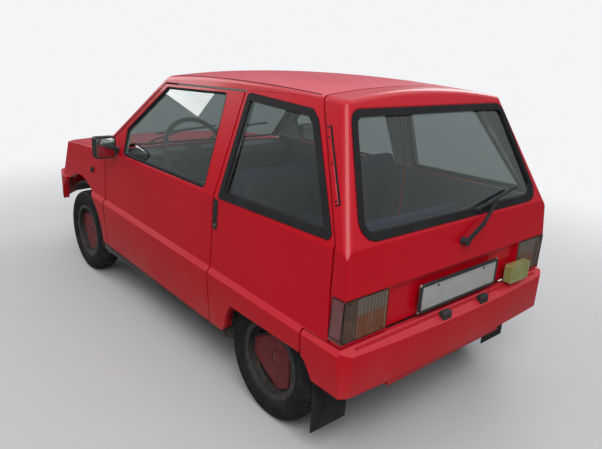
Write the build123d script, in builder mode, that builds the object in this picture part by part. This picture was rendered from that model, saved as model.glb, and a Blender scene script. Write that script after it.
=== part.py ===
from build123d import *
from math import atan2, cos, degrees, hypot, radians, sin, sqrt, tan
import os

os.makedirs("parts", exist_ok=True)

# A tiny three-door hatchback. Millimetres, X forward, Y to its left, Z up, origin on the
# ground under the middle of its length.

# Overall sizes and axles
length = 2950
width = 1352
height = 1352
rear_overhang, front_overhang = 473, 562
wheelbase = length - rear_overhang - front_overhang
rear_x = -length / 2
front_x = length / 2
rear_axle_x = rear_x + rear_overhang
front_axle_x = rear_axle_x + wheelbase
half_width = width / 2

# Gaps
shut_gap = 8.5
swing_gap = 5.2
run_gap = 0.3
seat_gap = 0.3

# Body side, seen from the front: half widths and their heights; the ledge climbs forwards
sill_y, sill_z = half_width - 16, 270
ledge_y, ledge_z, ledge_rise = half_width, 528, 0.0213
shoulder_y, ledge_height, shoulder_low_z = half_width - 16, 22, 515
belt_y, belt_z = half_width - 31, 848
eaves_y, eaves_z = half_width - 199, height - 30
inner_y = half_width - 76
frame_wall = 34
tumble = (belt_y - eaves_y) / (eaves_z - belt_z)
over_z = height + 60
beyond = 800

# Roof: its crown across and a long arc along
roof_peak_x = rear_axle_x + 352
roof_long_arc = 7500
roof_wall = 28
roof_side_y = half_width - 236
eaves_round = 30

# Windscreen and its pillars
screen_top_x, screen_top_z = front_axle_x - 851, height - 77
screen_foot_x, screen_foot_z = front_axle_x - 357, 864
screen_slope = (screen_top_z - screen_foot_z) / (screen_foot_x - screen_top_x)
screen_cos = 1 / hypot(1, screen_slope)
screen_set_back = 6
glass_thick = 5
pillar_strip = 16
pillar_depth = 62

# Tail
tail_x = rear_x + 50
tail_bend_z = 690
tail_crease_z = 852
tail_low_x, tail_low_z = rear_x + 84, 888
tail_top_x, tail_top_z = rear_x + 288, height - 42
tail_wall = 42
tail_round = 30

# Door
door_front_x = front_axle_x - 393 - shut_gap / 2
door_rear_x = rear_axle_x + 387 + shut_gap / 2
door_front_z, door_rear_z = 286, 273
door_top_z = height - 100
door_top_rise = 0.0374
door_step = 6
door_step_depth = 19
glass_inset = 10
window_round = 24

# Door hinge: an upright axis inside the door's front edge
hinge_back = 30
hinge_y = half_width - 40
hinge_zs = [400, 700]
hinge_pin_r = 5
hinge_pin_length = 62
hinge_pocket_height = 34
hinge_arm = 12
hinge_arm_y = half_width - 106

# Quarter panel and the seam of the tailgate, as side view points
arch_top_z = 422
quarter_foot_z = 520
seam = [
    (rear_x + 392, height - 55),
    (rear_x + 375, height - 90),
    (rear_x + 129, 856),
    (rear_x + 124, 700),
    (rear_x + 108, 522),
]
quarter_seal_width = 28
seal_proud = 4
seal_depth = 20

# Front: bonnet, wings and nose
bonnet_peak_x, bonnet_peak_z = front_axle_x - 441, 851
bonnet_long_arc = 5900
bonnet_rear_x = front_axle_x - 305
bonnet_half = half_width - 76
bonnet_crown_drop = 17
bonnet_wall = 20
bonnet_front_z = 745
wing_inner_y = half_width - 54
nose_z = 570
nose_mid_x = front_x - 70
nose_corner_x, nose_corner_y = front_x - 123, half_width - 111
nose_turn_x, nose_turn_y = front_x - 185, half_width - 54
nose_side_x, nose_side_y = front_x - 365, half_width + 24
nose_rear_x = front_axle_x - 513
nose_slant = 0.512
nose_round = 45
nose_wall = 24
arch_z, arch_radius = 290, 335

# Lamps and grille in the nose
lamp_z_low, lamp_z_high = 590, 715
headlamp_y_in, headlamp_y_out = half_width - 290, half_width - 152
indicator_y_in, indicator_y_out = half_width - 144, half_width - 92
lamp_depth = 60
grille_half = half_width - 298
grille_z_low, grille_z_high = 612, 706
grille_bars = 6
grille_bar = 6
grille_depth = 16

# Bumpers
bumper_front_z_low, bumper_front_z_high = 400, nose_z - seat_gap
bumper_front_side_x = front_axle_x + 207
bumper_wall, bumper_side_wall = 52, 24
bumper_rear_z_low, bumper_rear_z_high = 338, 516
bumper_rear_side_x = rear_axle_x - 242
bumper_shelf_z, bumper_shelf_depth = 486, 46

# Tailgate: axis, lamps, plate
tailgate_hinge_back = 20
tailgate_hinge_z = height - 34
tailgate_hinge_y = 150
tailgate_opening = 78
tailgate_foot_z = 522
tail_lamp_z_low, tail_lamp_z_high = 532, 689
tail_lamp_y_in = half_width - 239
tail_lamp_x_front = rear_x + 111
tail_recess = 18
plate_width, plate_height, plate_z = 520, 115, 596
plate_thick = 8
rear_seal_width = 26
rear_window_round = 58

# Wheels
tyre_radius = 256
tyre_width = 135
rim_radius = 167
rim_barrel_radius = 152
rim_half_width = 55
wheel_y_front, wheel_y_rear = half_width - 99, half_width - 109
hub_bore_r = 14
lobe_apothem, lobe_tip = 98, 130
bolt_circle = 98
bolt_hole_r = 7

# Steering: the kingpin leans inwards at its top
kingpin_y, kingpin_z = wheel_y_front - 52, 190
kingpin_lean = 12
ball_r = 14
strut_r, damper_r = 22, 30
strut_top_z = 700

# Floor and front structure
floor_z, floor_thick = 190, 14
sill_out_y, sill_in_y = half_width - 36, half_width - 93
sill_low_z, sill_high_z, sill_top_z = 228, 262, 322
bulkhead_x, bulkhead_thick = front_axle_x - 301, 28
post_x = front_axle_x - 368
heel_x = rear_axle_x + 362
bench_floor_z = 340
boot_x, boot_floor_z = rear_axle_x - 98, 392
tub_radius = 300
tub_y = half_width - 206
panel_room_y = half_width - 30
front_tub_radius = 312
front_tub_y = half_width - 316


def side_y(z):
    return belt_y - (z - belt_z) * tumble


def screen_x(z):
    return screen_top_x + (screen_top_z - z) / screen_slope


def screen_z(x):
    return screen_top_z - (x - screen_top_x) * screen_slope


def tail_line_x(z):
    lean = (tail_top_x - tail_low_x) / (tail_top_z - tail_low_z)
    return tail_low_x + (z - tail_low_z) * lean


def door_top(x):
    return door_top_z - x * door_top_rise


def roof_z(x, y):
    return height - (x - roof_peak_x) ** 2 / (2 * roof_long_arc) - y**2 / (2 * roof_cross_arc)


def on_kingpin(z):
    return (front_axle_x, kingpin_y - (z - kingpin_z) * tan(radians(kingpin_lean)), z)


def side_prism(points, y_low, y_high, rounding=0, shrink=0):
    # A side view outline (x, z) made solid between two widths.
    with BuildPart() as prism:
        with BuildSketch(Plane.XZ.offset(-y_high)) as outline:
            with BuildLine():
                Polyline(*points, close=True)
            make_face()
            if rounding:
                fillet(outline.vertices(), rounding)
            if shrink:
                offset(amount=-shrink, kind=Kind.INTERSECTION, mode=Mode.REPLACE)
        extrude(amount=y_high - y_low)
    return prism.part


def end_prism(points, x_low, x_high, rounding=0, shrink=0):
    # An end view outline (y, z) made solid between two stations along the car.
    with BuildPart() as prism:
        with BuildSketch(Plane.YZ.offset(x_low)) as outline:
            with BuildLine():
                Polyline(*points, close=True)
            make_face()
            if rounding:
                fillet(outline.vertices(), rounding)
            if shrink:
                offset(amount=-shrink, kind=Kind.INTERSECTION, mode=Mode.REPLACE)
        extrude(amount=x_high - x_low)
    return prism.part


def both_sides(half_points):
    return [*half_points, *[(-y, z) for y, z in reversed(half_points)]]


def block(x, y, z):
    # A box from its low and high values along each axis.
    with BuildPart() as solid:
        with Locations(((x[0] + x[1]) / 2, (y[0] + y[1]) / 2, (z[0] + z[1]) / 2)):
            Box(x[1] - x[0], y[1] - y[0], z[1] - z[0])
    return solid.part


def rod(start, end, radius):
    way = Vector(*end) - Vector(*start)
    with BuildPart() as solid:
        with BuildSketch(Plane(origin=start, z_dir=way)):
            Circle(radius)
        extrude(amount=way.length)
    return solid.part


def bar(start, end, wide, thick, across=(0, 1, 0)):
    way = Vector(*end) - Vector(*start)
    with BuildPart() as solid:
        with BuildSketch(Plane(origin=start, x_dir=across, z_dir=way)):
            Rectangle(wide, thick)
        extrude(amount=way.length)
    return solid.part


def dome(peak_x, peak_z, long_arc, cross_arc, half, depth, sweep):
    # A body whose top is arched both ways: its cross arc is turned about a far axis below.
    edge_drop = cross_arc - sqrt(cross_arc**2 - half**2)
    centre_z = peak_z - long_arc
    start = radians(sweep / 2)
    plane = Plane(
        origin=(peak_x - long_arc * sin(start), 0, centre_z + long_arc * cos(start)),
        x_dir=(0, 1, 0),
        z_dir=(cos(start), 0, sin(start)),
    )
    with BuildPart() as body:
        with BuildSketch(plane):
            with BuildLine():
                crown = ThreePointArc((-half, -edge_drop), (0, 0), (half, -edge_drop))
                Polyline(crown @ 1, (half, -depth), (-half, -depth), crown @ 0)
            make_face()
        revolve(axis=Axis((peak_x, 0, centre_z), (0, 1, 0)), revolution_arc=sweep)
    return body.part


roof_crown = height - eaves_z
roof_cross_arc = (eaves_y**2 + roof_crown**2) / (2 * roof_crown)
bonnet_cross_arc = (bonnet_half**2 + bonnet_crown_drop**2) / (2 * bonnet_crown_drop)
dome_half = half_width + 20
dome_depth = 1600

outer_half = [
    (sill_y, sill_z),
    (ledge_y, ledge_z),
    (shoulder_y, ledge_z + ledge_height),
    (belt_y, belt_z),
    (side_y(over_z), over_z),
]
upper_half = [
    (inner_y, 0),
    (inner_y, shoulder_low_z - 35),
    (shoulder_y, shoulder_low_z),
    *outer_half[3:],
]
past_end = 50
rear_drop = (rear_x - past_end) * ledge_rise
bevel_top = (shoulder_y - ledge_height / 2, ledge_z + ledge_height * 1.6875 + rear_drop)
skirt_half = [(sill_y, sill_z + rear_drop), (ledge_y, ledge_z + rear_drop), bevel_top]
with BuildPart() as side_body:
    with BuildSketch(Plane.YZ.offset(rear_x - past_end)):
        with BuildLine():
            Polyline(*both_sides(skirt_half), close=True)
        make_face()
    extrude(amount=length + 2 * past_end, dir=(1, 0, ledge_rise))
    add(end_prism(both_sides(upper_half), rear_x - past_end, front_x + past_end))
    add(block((rear_x - beyond, front_x + beyond), (-beyond, beyond), (-beyond, sill_z)), mode=Mode.SUBTRACT)


def inner_half(low_y, wall):
    break_z = belt_z + (belt_y - wall - low_y) / tumble
    return [(low_y, 0), (low_y, break_z), (side_y(over_z) - wall, over_z)]


# Cabin body: outside and inside
with BuildPart() as cabin_outer:
    add(side_body.part)
    add(
        side_prism(
            [
                (tail_x, sill_z),
                (tail_x, tail_bend_z),
                (tail_line_x(tail_crease_z), tail_crease_z),
                (tail_line_x(over_z), over_z),
                (screen_x(over_z), over_z),
                (screen_foot_x, screen_z(screen_foot_x)),
                (screen_foot_x, sill_z),
            ],
            -beyond,
            beyond,
        ),
        mode=Mode.INTERSECT,
    )
    add(
        dome(roof_peak_x, height, roof_long_arc, roof_cross_arc, dome_half, dome_depth, 20),
        mode=Mode.INTERSECT,
    )
    long_edges = cabin_outer.edges().filter_by(
        lambda edge: abs(edge.center().Y) > eaves_y - 20
        and edge.center().Z > eaves_z - 20
        and edge.length > 900
    )
    fillet(long_edges, eaves_round)
    tail_edges = cabin_outer.edges().filter_by(
        lambda edge: edge.center().X < tail_top_x + 20
        and edge.center().Z > tail_crease_z
        and edge.length > 300
    )
    tail_edges = [edge for edge in tail_edges if abs(edge.center().Z - tail_crease_z) > 5]
    fillet(tail_edges, tail_round)

with BuildPart() as cabin_inner:
    add(end_prism(both_sides(inner_half(inner_y, frame_wall)), rear_x, front_x))
    add(
        side_prism(
            [
                (tail_x + tail_wall, 0),
                (tail_x + tail_wall, tail_bend_z),
                (tail_line_x(tail_crease_z) + tail_wall, tail_crease_z),
                (tail_line_x(over_z) + tail_wall, over_z),
                (front_x, over_z),
                (front_x, 0),
            ],
            -beyond,
            beyond,
        ),
        mode=Mode.INTERSECT,
    )
    add(
        dome(roof_peak_x, height - roof_wall, roof_long_arc, roof_cross_arc, dome_half, dome_depth, 20),
        mode=Mode.INTERSECT,
    )

with BuildPart() as cabin_shell:
    add(cabin_outer.part)
    add(cabin_inner.part, mode=Mode.SUBTRACT)

# Swept room for the door's front edge and the tailgate's front edge
hinge_x = door_front_x - hinge_back
door_ledge_z = ledge_z + door_front_x * ledge_rise + swing_gap
door_edge_half = [
    *outer_half[:2],
    (ledge_y, door_ledge_z),
    (shoulder_y, door_ledge_z + ledge_height),
    (belt_y, belt_z),
]
with BuildPart() as door_sweep:
    with BuildSketch(Plane(origin=(hinge_x, hinge_y, 0), x_dir=(1, 0, 0), z_dir=(0, -1, 0))):
        with BuildLine():
            rim_points = [
                (sqrt(hinge_back**2 + (y - hinge_y) ** 2) + swing_gap, z) for y, z in door_edge_half
            ]
            Polyline(
                (0, sill_z - 10), (rim_points[0][0], sill_z - 10), *rim_points, (0, belt_z), close=True
            )
        make_face()
    revolve(axis=Axis((hinge_x, hinge_y, 0), (0, 0, 1)))

tailgate_hinge_x = seam[0][0] - shut_gap / 2 - tailgate_hinge_back
with BuildPart() as tailgate_sweep:
    with BuildSketch(Plane(origin=(tailgate_hinge_x, 0, tailgate_hinge_z), x_dir=(0, 1, 0), z_dir=(1, 0, 0))):
        with BuildLine():
            stations = [0, 160, 320]
            rises = [roof_z(seam[0][0], y) - tailgate_hinge_z for y in stations]
            reach = [(y, hypot(tailgate_hinge_back, rise) + swing_gap) for y, rise in zip(stations, rises)]
            Polyline((0, 0), *reach, (stations[-1], 0), close=True)
        make_face()
        mirror(about=Plane.YZ)
    revolve(axis=Axis((tailgate_hinge_x, 0, tailgate_hinge_z), (0, 1, 0)))

# Roof with its header, rails and windscreen pillars
strip_drop = pillar_strip / screen_cos
rear_seam_x = seam[0][0] + shut_gap / 2
with BuildPart() as roof_mask:
    add(
        side_prism(
            [
                (rear_seam_x, door_top(rear_seam_x) + shut_gap),
                (screen_foot_x, door_top(screen_foot_x) + shut_gap),
                (screen_foot_x, over_z),
                (rear_seam_x, over_z),
            ],
            -beyond,
            beyond,
        )
    )
    add(block((rear_seam_x, screen_foot_x), (-roof_side_y, roof_side_y), (door_top_z - 50, over_z)))

with BuildPart() as roof:
    add(cabin_shell.part)
    add(roof_mask.part, mode=Mode.INTERSECT)
    add(tailgate_sweep.part, mode=Mode.SUBTRACT)

with BuildPart() as pillar_core:
    add(end_prism(both_sides(inner_half(inner_y - 20, pillar_depth)), rear_x, front_x))

with BuildPart() as pillars:
    add(cabin_outer.part)
    add(pillar_core.part, mode=Mode.SUBTRACT)
    add(
        side_prism(
            [
                (0, screen_z(0) - strip_drop),
                (screen_foot_x, screen_z(screen_foot_x) - strip_drop),
                (screen_foot_x, over_z),
                (0, over_z),
            ],
            -beyond,
            beyond,
        ),
        mode=Mode.INTERSECT,
    )

with BuildPart() as roof_whole:
    add(roof.part)
    add(pillars.part)
roof_whole.part.label = "roof"
export_step(roof_whole.part, "parts/roof.step")

# Windscreen, set in between the pillars and under the header
back_drop = screen_set_back / screen_cos
pane_drop = (screen_set_back + glass_thick) / screen_cos
with BuildPart() as windscreen:
    add(
        side_prism(
            [
                (-200, screen_z(-200) - back_drop),
                (screen_foot_x, screen_z(screen_foot_x) - back_drop),
                (screen_foot_x, screen_z(screen_foot_x) - pane_drop),
                (-200, screen_z(-200) - pane_drop),
            ],
            -beyond,
            beyond,
        )
    )
    add(
        end_prism(both_sides(inner_half(inner_y - 20 - seat_gap, pillar_depth + seat_gap)), rear_x, front_x),
        mode=Mode.INTERSECT,
    )
    add(
        dome(
            roof_peak_x, height - roof_wall - seat_gap, roof_long_arc, roof_cross_arc, dome_half, dome_depth, 20
        ),
        mode=Mode.INTERSECT,
    )
windscreen.part.label = "windscreen"
export_step(windscreen.part, "parts/windscreen.step")

# Left door, then the right one as its mirror image
edge_drop = (pillar_strip + shut_gap) / screen_cos


def door_edge(x):
    return screen_z(x) - edge_drop


door_corner_x = (screen_z(0) - edge_drop - door_top_z) / (screen_slope - door_top_rise)
door_outline = [
    (door_front_x, door_front_z),
    (door_front_x, door_edge(door_front_x)),
    (door_corner_x, door_top(door_corner_x)),
    (door_rear_x, door_top(door_rear_x)),
    (door_rear_x, door_rear_z),
]
door_window = [
    (front_axle_x - 613, 858),
    (front_axle_x - 582, 990),
    (front_axle_x - 882, height - 113),
    (rear_axle_x + 510, height - 91),
    (rear_axle_x + 469, 862),
]
step_band = [
    (inner_y - 1, 0),
    (ledge_y - door_step_depth - 30, 0),
    (ledge_y - door_step_depth - 30, ledge_z),
    (belt_y - door_step_depth, belt_z),
    (side_y(over_z) - door_step_depth, over_z),
    (side_y(over_z) - frame_wall - 20, over_z),
    (inner_y - 1, belt_z),
]
with BuildPart() as door_left:
    add(side_body.part)
    add(end_prism(both_sides(inner_half(inner_y, frame_wall)), rear_x, front_x), mode=Mode.SUBTRACT)
    add(side_prism(door_outline, 0, beyond), mode=Mode.INTERSECT)
    add(side_prism(door_window, 0, beyond, rounding=window_round), mode=Mode.SUBTRACT)
    add(end_prism(step_band, door_rear_x - 1, door_rear_x + door_step), mode=Mode.SUBTRACT)
    for z in hinge_zs:
        half = hinge_pocket_height / 2
        add(
            block(
                (hinge_x - hinge_arm, front_x),
                (0, hinge_y + hinge_arm - 2),
                (z - half, z + half),
            ),
            mode=Mode.SUBTRACT,
        )
        with Locations((hinge_x, hinge_y, z)):
            Cylinder(hinge_pin_r + run_gap, hinge_pin_length + 2 * run_gap, mode=Mode.SUBTRACT)

glass_band = [
    (side_y(belt_z - 30) - glass_inset, belt_z - 30),
    (side_y(over_z) - glass_inset, over_z),
    (side_y(over_z) - glass_inset - glass_thick, over_z),
    (side_y(belt_z - 30) - glass_inset - glass_thick, belt_z - 30),
]
with BuildPart() as door_glass_left:
    add(end_prism(glass_band, rear_x, front_x))
    add(
        side_prism(door_window, 0, beyond, rounding=window_round, shrink=seat_gap),
        mode=Mode.INTERSECT,
    )

# Mirror on the door's front corner
mirror_x, mirror_y, mirror_z = front_axle_x - 583, half_width + 40, 898
mirror_depth, mirror_width, mirror_height = 54, 112, 114
with BuildPart() as mirror_left:
    with Locations((mirror_x + mirror_depth / 2, mirror_y, mirror_z)):
        Box(mirror_depth, mirror_width, mirror_height)
    fillet(mirror_left.edges().filter_by(Axis.X), 14)
    chamfer(mirror_left.faces().sort_by(Axis.X)[-1].edges(), 10)
    with BuildSketch(Plane.YZ.offset(mirror_x)):
        with Locations((mirror_y, mirror_z)):
            RectangleRounded(mirror_width - 12, mirror_height - 12, 10)
    extrude(amount=4, mode=Mode.SUBTRACT)
    with Locations((mirror_x + 34, mirror_y - mirror_width / 2 - 12, mirror_z - 24)):
        Box(36, 40, 30)
    add(
        end_prism(
            [
                (0, 0),
                (side_y(0) + seat_gap, 0),
                (side_y(over_z) + seat_gap, over_z),
                (0, over_z),
            ],
            rear_x,
            front_x,
        ),
        mode=Mode.SUBTRACT,
    )

# Quarter panel, its window and seal
seam_front = [(x + shut_gap / 2, z) for x, z in seam]
seam_rear = [(x - shut_gap / 2, z) for x, z in seam]
quarter_front_x = door_rear_x - shut_gap
arch_front_edge = [
    (rear_axle_x + 290, sill_z),
    (rear_axle_x + 273, 286),
    (rear_axle_x + 250, 362),
    (rear_axle_x + 212, arch_top_z),
]
quarter_outline = [
    (quarter_front_x, sill_z + 3),
    (quarter_front_x, door_top(quarter_front_x) + shut_gap - seat_gap),
    (rear_seam_x, door_top(rear_seam_x) + shut_gap - seat_gap),
    *seam_front[1:-1],
    (seam_front[-1][0], quarter_foot_z),
    (bumper_rear_side_x + shut_gap, quarter_foot_z),
    (bumper_rear_side_x + shut_gap, arch_top_z),
    *[point for point in reversed(arch_front_edge) if point[1] > sill_z + 3],
    (arch_front_edge[0][0], sill_z + 3),
]
quarter_window = [
    (rear_axle_x + 362, height - 76),
    (rear_axle_x - 44, height - 93),
    (rear_axle_x - 88, height - 125),
    (rear_x + 143, 868),
    (rear_axle_x + 352, 852),
]
with BuildPart() as quarter_left:
    add(cabin_shell.part)
    add(side_prism(quarter_outline, roof_side_y + seat_gap, beyond), mode=Mode.INTERSECT)
    add(side_prism(quarter_window, 0, beyond, rounding=16), mode=Mode.SUBTRACT)
    add(tailgate_sweep.part, mode=Mode.SUBTRACT)
    add(
        rod((rear_axle_x, 0, tyre_radius), (rear_axle_x, panel_room_y, tyre_radius), tub_radius),
        mode=Mode.SUBTRACT,
    )

seal_band = [
    (side_y(belt_z - 30) + seal_proud, belt_z - 30),
    (side_y(over_z) + seal_proud, over_z),
    (side_y(over_z) - seal_depth, over_z),
    (side_y(belt_z - 30) - seal_depth, belt_z - 30),
]
with BuildPart() as quarter_seal_left:
    add(end_prism(seal_band, rear_x, front_x))
    add(
        side_prism(quarter_window, 0, beyond, rounding=16, shrink=seat_gap),
        mode=Mode.INTERSECT,
    )
    add(
        side_prism(quarter_window, 0, beyond, rounding=16, shrink=quarter_seal_width),
        mode=Mode.SUBTRACT,
    )

with BuildPart() as quarter_glass_left:
    add(end_prism(glass_band, rear_x, front_x))
    add(
        side_prism(quarter_window, 0, beyond, rounding=16, shrink=quarter_seal_width + seat_gap),
        mode=Mode.INTERSECT,
    )

# Tailgate: roof strip, rear pillars, tail panel
tailgate_region = [
    (seam_rear[0][0], over_z),
    *seam_rear[:-1],
    (seam_rear[-1][0], tailgate_foot_z),
    (rear_x - 50, tailgate_foot_z),
    (rear_x - 50, over_z),
]
rear_window_half = [(half_width - 176, 866), (half_width - 97, 882), (half_width - 203, height - 78)]
rear_window = both_sides(rear_window_half)
lamp_box = block(
    (rear_x - 50, tail_lamp_x_front),
    (tail_lamp_y_in, beyond),
    (tail_lamp_z_low, tail_lamp_z_high),
)
lamp_pocket = block(
    (rear_x - 50, tail_lamp_x_front + seat_gap),
    (tail_lamp_y_in - seat_gap, beyond),
    (tail_lamp_z_low - seat_gap, tail_lamp_z_high + seat_gap),
)
recess_half = tail_lamp_y_in - 6
tailgate_arm_half, tailgate_pin_half = 7, 24
with BuildPart() as tailgate:
    add(cabin_shell.part)
    add(side_prism(tailgate_region, -beyond, beyond), mode=Mode.INTERSECT)
    add(end_prism(rear_window, rear_x - 50, 0, rounding=rear_window_round), mode=Mode.SUBTRACT)
    add(lamp_pocket, mode=Mode.SUBTRACT)
    add(mirror(lamp_pocket, about=Plane.XZ, mode=Mode.PRIVATE), mode=Mode.SUBTRACT)
    add(
        block(
            (rear_x - 50, tail_x + tail_recess),
            (-recess_half, recess_half),
            (0, tail_lamp_z_high),
        ),
        mode=Mode.SUBTRACT,
    )
    for side in (-1, 1):
        pin_y = side * tailgate_hinge_y
        notch = tailgate_arm_half + swing_gap
        add(
            block(
                (tailgate_hinge_x - 13, tailgate_hinge_x + tailgate_hinge_back + shut_gap),
                (pin_y - notch, pin_y + notch),
                (tailgate_hinge_z - 60, tailgate_hinge_z + 12),
            ),
            mode=Mode.SUBTRACT,
        )
        add(
            rod(
                (tailgate_hinge_x, pin_y - tailgate_pin_half - 1, tailgate_hinge_z),
                (tailgate_hinge_x, pin_y + tailgate_pin_half + 1, tailgate_hinge_z),
                hinge_pin_r + run_gap,
            ),
            mode=Mode.SUBTRACT,
        )
tailgate.part.label = "tailgate"
export_step(tailgate.part, "parts/tailgate.step")

with BuildPart() as tail_lamps:
    add(cabin_shell.part)
    add(lamp_box, mode=Mode.INTERSECT)
    mirror(about=Plane.XZ)
tail_lamps.part.label = "tail_lamps"
export_step(tail_lamps.part, "parts/tail_lamps.step")


def tail_slab(front, back):
    # A layer that follows the leaning tail, between two depths behind its face.
    low = tail_crease_z - 10
    return side_prism(
        [
            (tail_line_x(low) + front, low),
            (tail_line_x(over_z) + front, over_z),
            (tail_line_x(over_z) + back, over_z),
            (tail_line_x(low) + back, low),
        ],
        -beyond,
        beyond,
    )


with BuildPart() as rear_window_seal:
    add(tail_slab(-seal_proud, seal_depth))
    add(
        end_prism(rear_window, rear_x - 50, 0, rounding=rear_window_round, shrink=seat_gap),
        mode=Mode.INTERSECT,
    )
    add(
        end_prism(rear_window, rear_x - 50, 0, rounding=rear_window_round, shrink=rear_seal_width),
        mode=Mode.SUBTRACT,
    )
rear_window_seal.part.label = "rear_window_seal"
export_step(rear_window_seal.part, "parts/rear_window_seal.step")

with BuildPart() as tailgate_glass:
    add(tail_slab(glass_thick, 2 * glass_thick))
    add(
        end_prism(
            rear_window, rear_x - 50, 0, rounding=rear_window_round, shrink=rear_seal_width + seat_gap
        ),
        mode=Mode.INTERSECT,
    )
tailgate_glass.part.label = "tailgate_glass"
export_step(tailgate_glass.part, "parts/tailgate_glass.step")

recess_x = tail_x + tail_recess
with BuildPart() as rear_plate:
    add(
        block(
            (tail_x - plate_thick, tail_x),
            (-plate_width / 2, plate_width / 2),
            (plate_z - plate_height / 2, plate_z + plate_height / 2),
        )
    )
    add(
        block(
            (tail_x, recess_x - seat_gap),
            (-plate_width / 3, plate_width / 3),
            (plate_z - plate_height / 4, plate_z + plate_height / 4),
        )
    )
rear_plate.part.label = "rear_plate"
export_step(rear_plate.part, "parts/rear_plate.step")

with BuildPart() as reversing_lamp:
    lamp_y = (-tail_lamp_y_in - 55, -tail_lamp_y_in + 101)
    add(block((tail_x - 41, tail_x - 7), lamp_y, (524, 606)))
    fillet(reversing_lamp.edges().filter_by(Axis.X), 10)
    add(block((tail_x - 7, recess_x - seat_gap), (lamp_y[0] + 66, lamp_y[1] - 60), (548, 588)))
reversing_lamp.part.label = "reversing_lamp"
export_step(reversing_lamp.part, "parts/reversing_lamp.step")

# Rear wiper: a hub on the tail panel, an arm and a blade in front of the glass
wiper_hub = (tail_x - 14, 12, 781)
blade_out = 26
arm_end = (tail_line_x(915) - blade_out, -230, 915)
arm_bend = (tail_line_x(852) - blade_out, -100, 836)
with BuildPart() as rear_wiper:
    add(rod((tail_x + 9, 12, 781), (tail_x - 22, 12, 781), 15))
    add(bar(wiper_hub, arm_bend, 16, 8))
    add(bar(arm_bend, arm_end, 12, 7))
    add(bar((tail_line_x(893) - blade_out, -60, 893), (tail_line_x(941) - blade_out, -385, 941), 9, 14))
    add(cabin_outer.part, mode=Mode.SUBTRACT)
rear_wiper.part.label = "rear_wiper"
export_step(rear_wiper.part, "parts/rear_wiper.step")

with BuildPart() as tailgate_hinges:
    for side in (-1, 1):
        pin_y = side * tailgate_hinge_y
        arm_y = (pin_y - tailgate_arm_half, pin_y + tailgate_arm_half)
        add(
            rod(
                (tailgate_hinge_x, pin_y - tailgate_pin_half, tailgate_hinge_z),
                (tailgate_hinge_x, pin_y + tailgate_pin_half, tailgate_hinge_z),
                hinge_pin_r,
            )
        )
        down = (tailgate_hinge_z - 56, tailgate_hinge_z - 44)
        add(block((tailgate_hinge_x - 7, tailgate_hinge_x + 7), arm_y, (down[0], tailgate_hinge_z + 7)))
        add(block((tailgate_hinge_x - 7, tailgate_hinge_x + 84), arm_y, down))
        add(block((tailgate_hinge_x + 70, tailgate_hinge_x + 84), arm_y, (down[0], tailgate_hinge_z + 10)))
    add(roof_whole.part, mode=Mode.SUBTRACT)
tailgate_hinges.part.label = "tailgate_hinges"
export_step(tailgate_hinges.part, "parts/tailgate_hinges.step")


# Front body: outside and inside
def nose_prism(back):
    with BuildPart() as prism:
        with BuildSketch(Plane.XY.offset(nose_z)) as outline:
            with BuildLine():
                corner = (nose_corner_x - back, nose_corner_y)
                arc = ThreePointArc((corner[0], -corner[1]), (nose_mid_x - back, 0), corner)
                side = [
                    (nose_turn_x - back, nose_turn_y),
                    (nose_side_x - back, nose_side_y),
                    (nose_rear_x, nose_side_y),
                ]
                Polyline(arc @ 1, *side, *[(x, -y) for x, y in reversed(side)], arc @ 0)
            make_face()
            fillet(outline.vertices().filter_by(lambda vertex: vertex.X > nose_turn_x - back - 1), nose_round)
        extrude(amount=400, dir=(-nose_slant, 0, 1))
    return prism.part


def bonnet_dome(down):
    return dome(
        bonnet_peak_x, bonnet_peak_z - down, bonnet_long_arc, bonnet_cross_arc, dome_half, dome_depth, 24
    )


low_front = block((nose_rear_x, front_axle_x + 237), (-beyond, beyond), (0, nose_z))
with BuildPart() as front_outer:
    add(nose_prism(0))
    add(low_front)
    add(side_body.part, mode=Mode.INTERSECT)
    add(bonnet_dome(0), mode=Mode.INTERSECT)

with BuildPart() as front_inner:
    add(nose_prism(nose_wall))
    add(low_front)
    add(block((nose_rear_x, front_x), (-wing_inner_y, wing_inner_y), (0, over_z)), mode=Mode.INTERSECT)
    add(bonnet_dome(bonnet_wall), mode=Mode.INTERSECT)

with BuildPart() as front_shell:
    add(front_outer.part)
    add(front_inner.part, mode=Mode.SUBTRACT)

bonnet_hinge_x = bonnet_rear_x + 30
bonnet_hinge_z = 803
bonnet_hinge_y = half_width - 176
bonnet_edge = bonnet_half - shut_gap / 2
with BuildPart() as bonnet:
    add(front_shell.part)
    add(
        block((bonnet_rear_x, front_x), (-bonnet_edge, bonnet_edge), (bonnet_front_z, over_z)),
        mode=Mode.INTERSECT,
    )
    for side in (-1, 1):
        ear_y = side * bonnet_hinge_y
        add(
            block(
                (bonnet_hinge_x - 12, bonnet_hinge_x + 12),
                (ear_y - 8, ear_y + 8),
                (bonnet_hinge_z - 11, bonnet_hinge_z + 24),
            )
        )
        add(
            rod(
                (bonnet_hinge_x, ear_y - 40, bonnet_hinge_z),
                (bonnet_hinge_x, ear_y + 40, bonnet_hinge_z),
                hinge_pin_r + run_gap,
            ),
            mode=Mode.SUBTRACT,
        )
bonnet.part.label = "bonnet"
export_step(bonnet.part, "parts/bonnet.step")

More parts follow.
